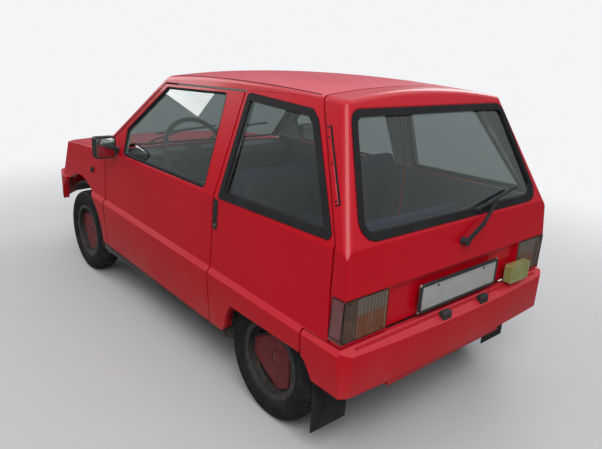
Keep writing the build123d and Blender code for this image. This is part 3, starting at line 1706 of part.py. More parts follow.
export_step(wipers_front.part, "parts/wipers_front.step")
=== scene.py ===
from math import pi, radians

import bmesh
import bpy
import numpy as np
from mathutils import Matrix, Vector, geometry


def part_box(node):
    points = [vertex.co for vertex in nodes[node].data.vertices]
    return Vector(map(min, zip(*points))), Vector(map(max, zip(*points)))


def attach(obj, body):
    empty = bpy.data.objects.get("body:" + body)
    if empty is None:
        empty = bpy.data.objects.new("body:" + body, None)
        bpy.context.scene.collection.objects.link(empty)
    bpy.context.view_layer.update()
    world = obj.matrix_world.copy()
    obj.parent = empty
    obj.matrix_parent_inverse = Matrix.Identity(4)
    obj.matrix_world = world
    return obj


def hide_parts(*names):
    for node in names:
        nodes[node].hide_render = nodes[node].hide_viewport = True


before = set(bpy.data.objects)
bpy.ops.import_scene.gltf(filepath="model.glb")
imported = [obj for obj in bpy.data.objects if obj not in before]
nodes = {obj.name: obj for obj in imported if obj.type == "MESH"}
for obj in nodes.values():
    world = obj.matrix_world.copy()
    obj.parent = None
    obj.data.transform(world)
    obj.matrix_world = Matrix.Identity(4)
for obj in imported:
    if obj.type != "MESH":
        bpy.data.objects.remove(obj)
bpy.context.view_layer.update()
print("frame loaded:", len(nodes), "nodes")


def newObject(name, data):
    made = bpy.data.objects.new(name, data)
    bpy.context.scene.collection.objects.link(made)
    return made


# Camera: the photograph's own viewing angle
camera = {
    "place": (-2.5548, 1.8602, 1.4781),
    "right": (-0.64767, -0.75998, 0.05430),
    "down": (-0.26768, 0.16024, -0.95009),
    "forward": (0.71335, -0.62988, -0.30722),
    "lens": 33.52,
}
eye = newObject("camera", bpy.data.cameras.new("camera"))
eye.data.lens = camera["lens"]
eye.data.sensor_width = 36
turn = Matrix((camera["right"], [-v for v in camera["down"]], [-v for v in camera["forward"]])).transposed()
eye.matrix_world = Matrix.Translation(camera["place"]) @ turn.to_4x4()
bpy.context.scene.camera = eye

# Studio: pale floor that fades into a pale backdrop, and soft lamps
studio = {
    "floor": (0.50, 0.50, 0.50, 1),
    "backdrop": (0.90, 0.91, 0.92, 1),
    "fade": (2.2, 4.6),  # distance from the middle
    "sky": (0.93, 0.95, 1.0, 1),
    "skyStrength": (0.12, 0.85),  # at the horizon and overhead
    "floorDimmed": 0.75,  # in reflections
    "lamps": [  # place, aim, size, watts
        ((-3.6, 2.6, 4.2), (-0.6, 0.2, 0.6), (3.2, 2.4), 150),
        ((0.5, -4.4, 3.4), (0.0, 0.0, 0.6), (3.0, 2.0), 90),
        ((4.6, 1.8, 3.2), (0.8, 0.0, 0.5), (2.6, 2.0), 80),
    ],
}


# Shader helpers: a node with its links and values, sums, ramps and mixes of sockets
def node(tree, kind, links=None, values=None, **settings):
    made = tree.nodes.new("ShaderNode" + kind)
    for key, value in settings.items():
        setattr(made, key, value)
    for key, value in (values or {}).items():
        made.inputs[key].default_value = value
    for key, socket in (links or {}).items():
        tree.links.new(socket, made.inputs[key])
    return made


def plug(socket, value):
    if hasattr(value, "is_linked"):
        socket.id_data.links.new(value, socket)
    else:
        socket.default_value = value


def treeOf(*values):
    # The tree of the first socket among the values: that is where the next node goes
    return next(value.id_data for value in values if hasattr(value, "is_linked"))


def calc(operation, *values):
    made = node(treeOf(*values), "Math", operation=operation)
    for socket, value in zip(made.inputs, values):
        plug(socket, value)
    return made.outputs[0]


def times(*values):
    return calc("MULTIPLY", *values)


def plus(*values):
    return calc("ADD", *values)


def minus(*values):
    return calc("SUBTRACT", *values)


def larger(*values):
    return calc("MAXIMUM", *values)


def absolute(value):
    return calc("ABSOLUTE", value)


def sine(value):
    return calc("SINE", value)


def ramp(value, low, high, first=0.0, last=1.0):
    # Smooth step of a value between two limits
    made = node(treeOf(value), "MapRange", interpolation_type="SMOOTHSTEP")
    for index, entry in enumerate((value, low, high, first, last)):
        plug(made.inputs[index], entry)
    return made.outputs[0]


def blend(share, first, second):
    made = node(treeOf(share, first, second), "Mix", data_type="RGBA")
    for index, entry in ((0, share), (6, first), (7, second)):
        plug(made.inputs[index], entry)
    return made.outputs[2]


def noise(vector, scale, detail=3.0, rough=0.5):
    made = node(treeOf(vector), "TexNoise", values={"Detail": detail, "Roughness": rough})
    plug(made.inputs["Vector"], vector)
    plug(made.inputs["Scale"], scale)
    return made.outputs["Fac"]


def vectorLength(vector):
    return node(treeOf(vector), "VectorMath", {0: vector}, operation="LENGTH").outputs["Value"]


def mixShaders(share, first, second):
    return node(treeOf(share), "MixShader", {0: share, 1: first.outputs[0], 2: second.outputs[0]})


def position(tree):
    return node(tree, "TexCoord").outputs["Object"]


def split(vector):
    return node(treeOf(vector), "SeparateXYZ", {0: vector}).outputs[:]


def faceWay(tree):
    # x, y and z of the direction in which a face looks
    return split(node(tree, "TexCoord").outputs["Normal"])


def shaderGroup(name, inputs, outputs):
    tree = bpy.data.node_groups.new(name, "ShaderNodeTree")
    for label, value in inputs.items():
        kind = "NodeSocketColor" if isinstance(value, tuple) else "NodeSocketFloat"
        tree.interface.new_socket(label, in_out="INPUT", socket_type=kind).default_value = value
    for label, kind in outputs.items():
        tree.interface.new_socket(label, in_out="OUTPUT", socket_type="NodeSocket" + kind)
    given = tree.nodes.new("NodeGroupInput").outputs
    return tree, given, tree.nodes.new("NodeGroupOutput").inputs


def useGroup(tree, group, **values):
    made = node(tree, "Group", node_tree=group)
    for label, value in values.items():
        plug(made.inputs[label], value)
    return made.outputs


# Aged paint: cloudy colour, tops lightened partly by sun fade and partly as painted sky reflection, fine
# orange peel
tree, given, put = shaderGroup(
    "agedPaint",
    {
        "Colour": (0.45, 0.006, 0.016, 1),
        "Bleached": (0.62, 0.09, 0.11, 1),
        "Bleach": 0.35,
        "Mottle": 0.12,
        "Roughness": 0.3,
    },
    {"Colour": "Color", "Roughness": "Float", "Height": "Float"},
)
coord = position(tree)
cloud = noise(coord, 2.6, 4.0)
speck = noise(coord, 55.0, 4.0, 0.7)
# Sun fade with painted sky reflection: faces that look upwards are lightened towards the faded colour
upward = times(ramp(faceWay(tree)[2], 0.25, 0.95), ramp(cloud, 0.2, 0.7, 0.6, 1.0))
sunFadedSkyLit = times(upward, given["Bleach"])
fresh = blend(sunFadedSkyLit, given["Colour"], given["Bleached"])
stain = {0: 1.0, 7: (0.55, 0.5, 0.5, 1)}
stained = node(tree, "Mix", {6: fresh}, stain, data_type="RGBA", blend_type="MULTIPLY")
shade = ramp(plus(cloud, times(speck, 0.25)), 0.5, 0.85)
shade = times(shade, given["Mottle"])
rough = plus(given["Roughness"], times(ramp(speck, 0.35, 0.8), 0.10))
plug(put["Colour"], blend(shade, fresh, stained.outputs[2]))
plug(put["Roughness"], plus(rough, times(sunFadedSkyLit, 0.25)))
plug(put["Height"], noise(coord, 240.0, 2.0))
agedPaint = tree

# Low dust: road dust in patches that thins out with height
tree, given, put = shaderGroup("lowDust", {"Low": 0.10, "High": 0.60, "Amount": 0.5}, {"Mask": "Float"})
coord = position(tree)
patch = ramp(noise(coord, 7.0, 6.0, 0.65), 0.35, 0.7, 0.35, 1.0)
fall = minus(1.0, ramp(split(coord)[2], given["Low"], given["High"]))
plug(put["Mask"], times(times(patch, fall), given["Amount"]))
lowDust = tree

# Moulded grain: leather-like cells for plastics and vinyl
tree, given, put = shaderGroup(
    "mouldedGrain", {"Scale": 420.0, "Worn": 0.3}, {"Height": "Float", "Tone": "Float"}
)
coord = position(tree)
cells = node(tree, "TexVoronoi", {"Vector": coord, "Scale": given["Scale"]}, feature="SMOOTH_F1")
blotch = noise(coord, 11.0, 5.0, 0.6)
plug(put["Height"], cells.outputs["Distance"])
plug(put["Tone"], times(ramp(blotch, 0.3, 0.75), given["Worn"]))
mouldedGrain = tree

# Rounded edges: the normal of an edge of the given radius, and a mask of that edge
tree, given, put = shaderGroup("roundEdges", {"Radius": 0.003}, {"Normal": "Vector", "Edge": "Float"})
soft = node(tree, "Bevel", {"Radius": given["Radius"]}, samples=6)
flat = node(tree, "NewGeometry").outputs["Normal"]
match = node(tree, "VectorMath", {0: soft.outputs[0], 1: flat}, operation="DOT_PRODUCT")
plug(put["Normal"], soft.outputs[0])
plug(put["Edge"], ramp(minus(1.0, match.outputs["Value"]), 0.01, 0.12))
roundEdges = tree

# Rust: patches of brown on bare metal
tree, given, put = shaderGroup(
    "rustPatches", {"Cover": 0.5, "Scale": 14.0}, {"Mask": "Float", "Colour": "Color", "Height": "Float"}
)
coord = position(tree)
grit = noise(coord, 160.0, 5.0, 0.7)
field = noise(coord, given["Scale"], 6.0, 0.65)
edge = times(minus(1.0, given["Cover"]), 0.9)
spread = plus(field, times(grit, 0.15))
brown = blend(ramp(grit, 0.3, 0.7), (0.085, 0.028, 0.012, 1), (0.24, 0.085, 0.03, 1))
plug(put["Mask"], ramp(spread, edge, plus(edge, 0.12)))
plug(put["Colour"], brown)
plug(put["Height"], grit)
rustPatches = tree


def dustOn(tree, low, high, amount):
    return useGroup(tree, lowDust, Low=low, High=high, Amount=amount)["Mask"]


def tinted(colour, factor, lift=0.0):
    return tuple(min(1, factor * c + lift) for c in colour[:3]) + (1,)


# A material in parts: tree and shader first, then colour, roughness and bump are joined on
def startMaterial(name, **fixed):
    mat = bpy.data.materials.new(name)
    mat.use_nodes = True
    shader = mat.node_tree.nodes["Principled BSDF"]
    for label, value in fixed.items():
        shader.inputs[label.replace("_", " ")].default_value = value
    return mat, mat.node_tree, shader


def joinMaterial(shader, colour, roughness, height=None, depth=0.0005, strength=0.4, radius=0.0):
    plug(shader.inputs["Base Color"], colour)
    plug(shader.inputs["Roughness"], roughness)
    links = {"Normal": useGroup(shader.id_data, roundEdges, Radius=radius)["Normal"]} if radius else {}
    if height is not None:
        links["Height"] = height
        bump = node(shader.id_data, "Bump", links, {"Strength": strength, "Distance": depth})
        plug(shader.inputs["Normal"], bump.outputs[0])


# Body side above the belt: y = beltY - (z - beltZ) * tumble, leaning inwards
flank = {"beltY": 0.645, "beltZ": 0.848, "tumble": 0.35443}
dustColour = (0.23, 0.20, 0.17, 1)
paint = {
    "red": (0.46, 0.0015, 0.010, 1),
    # sun-faded colour, which also paints the sky's reflection on upward faces
    "sunFadedSkyLit": (0.62, 0.10, 0.13, 1),
    "sunFadeSkyLight": 0.30,
    "roughness": 0.30,
    "coat": 0.30,
    "coatRoughness": 0.10,
    "edge": 0.0035,
    "dust": 0.35,
    "lining": (0.20, 0.195, 0.185, 1),  # headliner cloth
    "trim": (0.035, 0.036, 0.042, 1),  # door trim vinyl
    "bare": (0.16, 0.006, 0.010, 1),  # thinner paint inside
    "lined": (0.009, 0.011),  # depth behind the outer skin where the lining starts
    "beltLine": (0.860, 0.866),  # height where the lining starts
    "gateTrim": (0.70, 0.71),  # height where the gate's inner sides are trimmed
}


def paintMaterial(name, inside=None, edge=None, sunFadeSkyLight=None):
    # inside: a function of the tree that gives the mask of lined inner faces, with its colour
    mat, tree, shader = startMaterial(
        name, Coat_Weight=paint["coat"], Coat_Roughness=paint["coatRoughness"], Specular_IOR_Level=0.12
    )
    # Upward faces lightened: sun fade together with painted sky reflection
    aged = useGroup(tree, agedPaint, Colour=paint["red"], Bleached=paint["sunFadedSkyLit"],
                    Bleach=paint["sunFadeSkyLight"] if sunFadeSkyLight is None else sunFadeSkyLight, Roughness=paint["roughness"])
    dust = dustOn(tree, 0.12, 0.55, paint["dust"])
    colour = blend(dust, aged["Colour"], dustColour)
    rough = plus(aged["Roughness"], times(dust, 0.5))
    if inside:
        mask, lining = inside(tree)
        colour = blend(mask, colour, lining)
        rough = blend(mask, rough, (0.8, 0.8, 0.8, 1))
    joinMaterial(shader, colour, rough, aged["Height"], 0.0003, 0.10, edge or paint["edge"])
    return mat


def inwardFace(tree, y):
    # 1 on faces whose normal points towards the middle of the car
    inward = times(faceWay(tree)[1], calc("SIGN", y))
    return ramp(inward, -0.4, -0.6)


def headliner(tree):
    y = split(position(tree))[1]
    return larger(ramp(faceWay(tree)[2], -0.3, -0.6), inwardFace(tree, y)), paint["lining"]


def sideTrim(tree):
    # Lined: faces that look inwards, and above the belt whatever lies behind the outer skin
    y, z = split(position(tree))[1:]
    skin = minus(flank["beltY"], times(minus(z, flank["beltZ"]), flank["tumble"]))
    behind = ramp(minus(skin, absolute(y)), *paint["lined"])
    above = ramp(z, *paint["beltLine"])
    mask = larger(inwardFace(tree, y), times(behind, above))
    return mask, blend(above, paint["trim"], paint["lining"])


def gateTrim(tree):
    y, z = split(position(tree))[1:]
    ahead = ramp(faceWay(tree)[0], 0.35, 0.55)
    inner = times(inwardFace(tree, y), ramp(z, *paint["gateTrim"]))
    return larger(ahead, inner), paint["trim"]


def grainMaterial(name, colour, roughness=0.6, scale=420.0, depth=0.0004, worn=0.3, dust=0.25, radius=0.002):
    mat, tree, shader = startMaterial(name, Specular_IOR_Level=0.16)
    grain = useGroup(tree, mouldedGrain, Scale=scale, Worn=worn)
    toned = blend(grain["Tone"], colour, tinted(colour, 1.9, 0.02))
    mask = dustOn(tree, 0.15, 0.75, dust)
    rough = plus(roughness, times(grain["Tone"], 0.2))
    dusty = blend(mask, toned, dustColour)
    joinMaterial(shader, dusty, rough, grain["Height"], depth, 0.35, radius)
    return mat


def glassMaterial(name, tint, dust=0.3, low=0.85, high=1.3):
    # Clear panes: light passes straight through in shadows, dust dulls the lower edge
    mat, tree, shader = startMaterial(name, Transmission_Weight=1.0, IOR=1.45)
    film = dustOn(tree, low, high, dust)
    smear = ramp(noise(position(tree), 5.0, 5.0, 0.6), 0.45, 0.75)
    rough = times(plus(film, times(smear, 0.1)), 0.05)
    joinMaterial(shader, blend(film, tint, (0.60, 0.58, 0.55, 1)), rough)
    path = node(tree, "LightPath").outputs["Is Shadow Ray"]
    clear = node(tree, "BsdfTransparent", values={0: (0.72, 0.77, 0.76, 1)})
    mix = mixShaders(path, shader, clear)
    plug(tree.nodes["Material Output"].inputs["Surface"], mix.outputs[0])
    return mat


def metalMaterial(name, colour, rust=0.4, scale=14.0, roughness=0.5, metal=0.6, dust=0.4, radius=0.002):
    mat, tree, shader = startMaterial(name)
    patches = useGroup(tree, rustPatches, Cover=rust, Scale=scale)
    mask = dustOn(tree, 0.05, 0.6, dust)
    clean = blend(ramp(noise(position(tree), 30.0, 4.0), 0.35, 0.7), colour, tinted(colour, 1.5, 0.01))
    rusty = blend(patches["Mask"], clean, patches["Colour"])
    plug(shader.inputs["Metallic"], times(minus(1.0, patches["Mask"]), metal))
    rough = plus(roughness, times(patches["Mask"], 0.35))
    dusty = blend(mask, rusty, dustColour)
    joinMaterial(shader, dusty, rough, patches["Height"], 0.0006, 0.4, radius)
    return mat


def give(material, *names):
    for name in names:
        mesh = nodes[name].data
        mesh.materials.clear()
        mesh.materials.append(material)


def boxCentre(name):
    return np.mean(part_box(name), axis=0)


def buildStage():
    mesh = bpy.data.meshes.new("floor")
    far = 60
    mesh.from_pydata([(-far, -far, 0), (far, -far, 0), (far, far, 0), (-far, far, 0)], [], [(0, 1, 2, 3)])
    floor = newObject("floor", mesh)
    mat, tree, shader = startMaterial("paleFloor", Roughness=0.8, Specular_IOR_Level=0.2)
    coord = position(tree)
    grit = noise(coord, 3.0, 6.0, 0.6)
    ground = blend(times(grit, 0.12), studio["floor"], tinted(studio["floor"], 0.8))
    plug(shader.inputs["Base Color"], ground)
    away = ramp(vectorLength(coord), *studio["fade"])
    path = node(tree, "LightPath")
    seen = larger(path.outputs["Is Camera Ray"], path.outputs["Is Transmission Ray"])
    glow = node(tree, "Emission", values={0: studio["backdrop"], 1: 1.0})
    mix = mixShaders(times(away, seen), shader, glow)
    dark = node(tree, "Emission", values={0: (0.05, 0.05, 0.05, 1), 1: 1.0})
    reflected = times(path.outputs["Is Glossy Ray"], studio["floorDimmed"])
    dimmed = mixShaders(reflected, mix, dark)
    plug(tree.nodes["Material Output"].inputs["Surface"], dimmed.outputs[0])
    mesh.materials.append(mat)
    world = bpy.data.worlds.new("studio")
    bpy.context.scene.world = world
    world.use_nodes = True
    tree = world.node_tree
    tree.nodes.clear()
    overhead = split(node(tree, "TexCoord").outputs["Generated"])[2]
    light = node(tree, "Background", values={0: studio["sky"]})
    plug(light.inputs["Strength"], ramp(overhead, -0.05, 0.75, *studio["skyStrength"]))
    shown = node(tree, "Background", values={0: studio["backdrop"], 1: 1.0})
    path = node(tree, "LightPath")
    seen = larger(path.outputs["Is Camera Ray"], path.outputs["Is Transmission Ray"])
    node(tree, "OutputWorld", {0: mixShaders(seen, light, shown).outputs[0]})
    for i, (place, aim, size, watts) in enumerate(studio["lamps"]):
        data = bpy.data.lights.new(f"lamp{i}", "AREA")
        data.shape, data.size, data.size_y, data.energy = "RECTANGLE", size[0], size[1], watts
        lamp = newObject(f"lamp{i}", data)
        lamp.location = place
        lamp.rotation_euler = (Vector(aim) - Vector(place)).to_track_quat("-Z", "Y").to_euler()


buildStage()
bpy.context.scene.view_settings.view_transform = "Standard"
print("stage done")


floorPan = {
    "carpet": (0.020, 0.020, 0.024, 1),
    "carpetTo": (0.585, 0.575),  # from the middle
    "flange": (-1.402, -1.400),  # x; the flange behind it is painted above flangeFoot
    "flangeFoot": (0.488, 0.490),
}


# Underseal and carpet: the floor pan is carpeted inside and black below, splashed with dust
def floorMaterial():
    mat, tree, shader = startMaterial("floorPan")
    coord = position(tree)
    x, y, z = split(coord)
    upward = split(node(tree, "NewGeometry").outputs["True Normal"])[2]
    within = times(ramp(absolute(y), *floorPan["carpetTo"]), ramp(upward, -0.2, 0.1))
    within = times(within, ramp(x, *floorPan["flange"]))
    pile = noise(coord, 350.0, 4.0, 0.8)
    cloth = blend(pile, floorPan["carpet"], tinted(floorPan["carpet"], 2.2))
    grime = ramp(noise(coord, 40.0, 4.0), 0.3, 0.7)
    seal = blend(grime, (0.012, 0.012, 0.013, 1), (0.03, 0.028, 0.027, 1))
    mask = dustOn(tree, 0.10, 0.55, 0.45)
    outer = blend(mask, seal, dustColour)
    behind = ramp(x, *floorPan["flange"][::-1])
    flange = times(behind, ramp(z, *floorPan["flangeFoot"]))
    outer = blend(flange, outer, paint["red"])
    joinMaterial(shader, blend(within, outer, cloth), 0.9, pile, 0.0012, 0.5, 0.003)
    return mat


# The front structure: painted above, black underseal below, and black in the wheelhouses as underseal and
# painted shade
def frontMaterial():
    mat, tree, shader = startMaterial("frontShell", Coat_Weight=0.1, Coat_Roughness=0.3)
    coord = position(tree)
    y, z = split(coord)[1:]
    wide = absolute(y)
    low = ramp(z, 0.60, 0.56)
    # Wheelhouses black: underseal, and painted shade inside the arches
    wheelhouseShade = times(ramp(wide, 0.33, 0.36), ramp(z, 0.66, 0.62))
    black = larger(wheelhouseShade, times(low, 0.75))
    red = blend(noise(coord, 9.0, 5.0), paint["bare"], (0.28, 0.012, 0.018, 1))
    mask = dustOn(tree, 0.1, 0.95, 0.6)
    dirty = blend(mask, blend(black, red, (0.014, 0.014, 0.015, 1)), dustColour)
    joinMaterial(shader, dirty, 0.6, noise(coord, 220.0, 3.0), 0.0005, 0.3, 0.003)
    return mat


lens = {
    "side": (0.17, 0.050, 0.052, 1),
    "outer": (0.060, 0.036, 0.018, 1),
    "clear": (0.115, 0.095, 0.068, 1),
    "amber": (0.145, 0.050, 0.014, 1),
    "edge": (0.26, 0.17, 0.09, 1),
    "split": 0.592,  # between ribbed outer lens and inner lens
    "level": 0.622,  # clear above, amber below
    "rear": -1.4230,  # behind this the face looks rearwards
    "pitch": 0.0052,  # prisms at the side
    "ribPitch": 0.0170,  # upright ribs at the rear
}


# Tail lamp: five colours by place, upright ribs at the rear, a cross hatch of prisms at the side, painted
# shade in the troughs of both
def tailLampMaterial():
    mat, tree, shader = startMaterial(
        "tailLens", Coat_Weight=0.45, Coat_Roughness=0.12, Subsurface_Weight=0.12, Subsurface_Scale=0.01
    )
    coord = position(tree)
    x, y, z = split(coord)
    wide = absolute(y)
    rear = ramp(x, lens["rear"] + 0.0006, lens["rear"] - 0.0006)
    outer = ramp(wide, lens["split"] - 0.0006, lens["split"] + 0.0006)
    upper = ramp(z, lens["level"] - 0.001, lens["level"] + 0.001)
    inner = blend(upper, lens["amber"], lens["clear"])
    inner = blend(ramp(wide, 0.4455, 0.4445), inner, lens["edge"])
    face = blend(outer, inner, lens["outer"])
    colour = blend(rear, lens["side"], face)
    faded = ramp(noise(coord, 24.0, 4.0), 0.4, 0.75, 0.0, 0.35)
    colour = blend(faded, colour, (0.20, 0.14, 0.12, 1))
    step = 2 * pi / lens["pitch"]
    ribs = sine(times(y, 2 * pi / lens["ribPitch"]))
    hatch = times(sine(times(x, step)), sine(times(z, step)))
    height = blend(rear, hatch, plus(ribs, times(hatch, 0.2)))
    groove = times(rear, ramp(absolute(minus(wide, lens["split"])), 0.0022, 0.0008))
    colour = blend(groove, colour, (0.02, 0.012, 0.010, 1))
    # Painted shade: the low parts of the ribs and prisms are darkened
    ribTroughShade = times(ramp(height, -0.2, -0.9), 0.45)
    colour = blend(ribTroughShade, colour, (0.05, 0.015, 0.012, 1))
    joinMaterial(shader, colour, 0.28, height, 0.0012, 0.6, 0.003)
    return mat


# Clear lenses at the front, fluted upright, and coloured ones for the small lamps
def lensMaterial(name, colour, pitch=0.008, clear=0.6, roughness=0.12):
    mat, tree, shader = startMaterial(
        name, Transmission_Weight=clear, IOR=1.49, Coat_Weight=0.3, Coat_Roughness=0.08
    )
    coord = position(tree)
    flute = absolute(sine(times(split(coord)[1], pi / pitch)))
    cloudy = ramp(noise(coord, 18.0, 4.0), 0.3, 0.8)
    faded = blend(times(cloudy, 0.4), colour, tinted(colour, 0.6, 0.35))
    rough = plus(roughness, times(cloudy, 0.15))
    joinMaterial(shader, faded, rough, flute, 0.0012, 0.5, 0.002)
    return mat


# Wheel: black pressed steel with a red lobed centre plate
wheelPaint = {
    "black": (0.018, 0.018, 0.019, 1),
    "scuffed": (0.05, 0.048, 0.046, 1),
    "red": (0.15, 0.0025, 0.007, 1),
    "plate": (0.0203, 0.0207),  # the lobed plate stands further out than this
    "plateRadius": (0.143, 0.142),
}


def rimMaterial(name, tyreName):
    mat, tree, shader = startMaterial(name, Coat_Weight=0.15, Coat_Roughness=0.2)
    coord = position(tree)
    x, y, z = split(coord)
    middle = [float(value) for value in boxCentre(tyreName)]
    away = node(tree, "CombineXYZ", {0: minus(x, middle[0]), 2: minus(z, middle[2])})
    radius = vectorLength(away.outputs[0])
    out = ramp(minus(absolute(y), abs(middle[1])), *wheelPaint["plate"])
    plate = times(out, ramp(radius, *wheelPaint["plateRadius"]))
    red = wheelPaint["red"]
    aged = useGroup(tree, agedPaint, Colour=red, Bleached=red, Bleach=0.0, Mottle=0.5, Roughness=0.45)
    rust = useGroup(tree, rustPatches, Cover=0.30, Scale=26.0)
    worn = useGroup(tree, roundEdges, Radius=0.003)["Edge"]
    scuffs = ramp(noise(coord, 60.0, 4.0), 0.4, 0.75)
    black = blend(scuffs, wheelPaint["black"], wheelPaint["scuffed"])
    colour = blend(plate, black, aged["Colour"])
    colour = blend(times(rust["Mask"], 0.55), colour, rust["Colour"])
    colour = blend(times(worn, 0.25), colour, (0.12, 0.07, 0.06, 1))
    dust = dustOn(tree, 0.0, 0.5, 0.12)
    colour = blend(dust, colour, dustColour)
    joinMaterial(shader, colour, 0.5, aged["Height"], 0.0004, 0.25, 0.0025)
    return mat


# Tyre rubber: browned side walls, dusty tread
def tyreMaterial(name, tyreName):
    mat, tree, shader = startMaterial(name, Specular_IOR_Level=0.15)
    coord = position(tree)
    worn = noise(coord, 22.0, 6.0, 0.65)
    fine = noise(coord, 380.0, 3.0)
    black = blend(ramp(worn, 0.3, 0.75), (0.010, 0.010, 0.010, 1), (0.022, 0.021, 0.020, 1))
    offset = minus(absolute(split(coord)[1]), float(abs(boxCentre(tyreName)[1])))
    wall = ramp(absolute(offset), 0.050, 0.060)
    browned = times(wall, ramp(worn, 0.5, 0.8, 0.0, 0.4))
    colour = blend(browned, black, (0.050, 0.043, 0.036, 1))
    dust = times(minus(1.0, wall), ramp(worn, 0.35, 0.7, 0.05, 0.4))
    colour = blend(dust, colour, (0.10, 0.092, 0.082, 1))
    joinMaterial(shader, colour, 0.82, fine, 0.0004, 0.4)
    return mat


paintPlain = paintMaterial("redPaint")
blackPlastic = grainMaterial("blackPlastic", (0.022, 0.022, 0.024, 1), 0.55)
blackRubber = grainMaterial("blackRubber", (0.008, 0.008, 0.009, 1), 0.7, 900.0, 0.0002, 0.25, 0.12)
greyRubber = grainMaterial("weatheredRubber", (0.010, 0.010, 0.011, 1), 0.65, 900.0, 0.0002, 0.25, 0.1)
dashPlastic = grainMaterial("dashPlastic", (0.020, 0.021, 0.024, 1), 0.5, 320.0, 0.0006, 0.25, 0.05)
cabinGlass = glassMaterial("cabinGlass", (0.66, 0.74, 0.73, 1), 0.12)
chassisBlack = metalMaterial("chassisBlack", (0.022, 0.022, 0.023, 1), 0.42, 12.0, 0.55, 0.3)
castMetal = metalMaterial("castMetal", (0.16, 0.16, 0.155, 1), 0.30, 18.0, 0.5, 0.8, 0.55, 0.006)
plateWhite = grainMaterial("plateWhite", (0.32, 0.325, 0.31, 1), 0.35, 1500.0, 0.0001, 0.15, 0.5)
seatCloth = grainMaterial("seatCloth", (0.014, 0.018, 0.042, 1), 0.9, 320.0, 0.0003, 0.3, 0.0)

give(paintPlain, "wing_left", "wing_right", "front_panel", "bumper_front", "bumper_rear", "bonnet")
give(paintMaterial("redGate", gateTrim, 0.012), "tailgate")
# The roof's upper faces get the full lightening: sun fade and painted sky reflection
give(paintMaterial("redRoof", headliner, sunFadeSkyLight=1.0), "roof")
give(paintMaterial("redSide", sideTrim), "door_left", "door_right", "quarter_left", "quarter_right")
give(floorMaterial(), "floor_pan")
give(frontMaterial(), "front_structure")
give(cabinGlass, "windscreen", "quarter_glass", "door_glass_left", "door_glass_right", "tailgate_glass")
give(greyRubber, "quarter_seals", "rear_window_seal")
give(blackRubber, "mudflaps")
give(blackPlastic, "grille", "plate_lamps", "side_repeaters", "wipers_front", "rear_wiper")
give(blackPlastic, "mirror_left", "mirror_right", "steering_wheel")
give(dashPlastic, "dashboard")
give(chassisBlack, "front_axle", "rear_axle", "door_hinges", "tailgate_hinges")
give(chassisBlack, "knuckle_left", "knuckle_right")
give(castMetal, "engine_block")
give(metalMaterial("rustyPipe", (0.10, 0.085, 0.075, 1), 0.62, 9.0, 0.6, 0.7, 0.3, 0.003), "exhaust")
give(tailLampMaterial(), "tail_lamps")
give(lensMaterial("headLens", (0.80, 0.82, 0.84, 1), 0.009, 0.75, 0.06), "headlamps")
give(lensMaterial("amberLens", (0.75, 0.22, 0.03, 1), 0.006, 0.35), "front_indicators")
give(lensMaterial("yellowLens", (0.30, 0.30, 0.075, 1), 0.006, 0.25), "reversing_lamp")
give(plateWhite, "rear_plate")
give(seatCloth, "seats_front", "rear_bench")
for wheel in ("front_left", "front_right", "rear_left", "rear_right"):
    give(rimMaterial("wheelPaint_" + wheel, "tyre_" + wheel), "rim_" + wheel)
    give(tyreMaterial("tyreRubber_" + wheel, "tyre_" + wheel), "tyre_" + wheel)
print("finishes done")


# Mesh helpers. A part is its points and lists of faces; a piece joins parts in one mesh
def unit(vector):
    vector = np.asarray(vector, float)
    return vector / np.linalg.norm(vector, axis=-1, keepdims=True)


def gridFaces(rows, cols, closeRows=False, closeCols=False):
    down, across = np.arange(rows - (not closeRows)), np.arange(cols - (not closeCols))
    i, j = np.meshgrid(down, across, indexing="ij")
    a, b = (i + 1) % rows, (j + 1) % cols
    return np.stack([i * cols + j, a * cols + j, a * cols + b, i * cols + b], -1).reshape(-1, 4)


def endFaces(rows, cols):
    # Flat faces over the first and the last ring of a tube
    return [np.arange(cols)[None], np.arange(cols)[None] + (rows - 1) * cols]


def addPiece(name, parts, body, material, replaces=(), angle=35):
    points = np.concatenate([part[0] for part in parts])
    starts = np.cumsum([0] + [len(part[0]) for part in parts])
    faces = []
    for part, start in zip(parts, starts):
        for block in part[1]:
            faces += (np.asarray(block) + start).tolist()
    mesh = bpy.data.meshes.new(name)
    mesh.from_pydata(points.tolist(), [], faces)
    shell = bmesh.new()
    shell.from_mesh(mesh)
    bmesh.ops.remove_doubles(shell, verts=shell.verts, dist=1e-6)
    bmesh.ops.recalc_face_normals(shell, faces=shell.faces)
    shell.to_mesh(mesh)
    shell.free()
    mesh.polygons.foreach_set("use_smooth", [True] * len(mesh.polygons))
    mesh.set_sharp_from_angle(angle=radians(angle))
    mesh.materials.append(material)
    piece = newObject(name, mesh)
    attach(piece, body)
    if replaces:
        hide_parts(*replaces)
    return piece


def bothSides(name, parts, body, material, replaces=(), angle=35):
    # A left piece and its mirror image; body is one name, or a left and a right one
    left, right = (body, body) if isinstance(body, str) else body
    flipped = [(points * (1, -1, 1), faces) for points, faces in parts]
    return [
        addPiece(name + "_left", parts, left, material, replaces, angle),
        addPiece(name + "_right", flipped, right, material, replaces, angle),
    ]


def roundedLoop(corners, radius, steps=6):
    # A corner becomes (1 - t)^2 before + 2 t (1 - t) corner + t^2 after, for t from 0 to 1
    spot = np.asarray(corners, float)
    before = spot + unit(np.roll(spot, 1, 0) - spot) * radius
    after = spot + unit(np.roll(spot, -1, 0) - spot) * radius
    t = np.linspace(0, 1, steps)[None, :, None]
    arcs = (1 - t) ** 2 * before[:, None] + 2 * t * (1 - t) * spot[:, None] + t**2 * after[:, None]
    return arcs.reshape(-1, 3)


def rectangle(centre, across, along, radius):
    centre, across, along = np.array(centre), np.array(across), np.array(along)
    low, high = centre - along, centre + along
    return roundedLoop([low - across, low + across, high + across, high - across], radius)


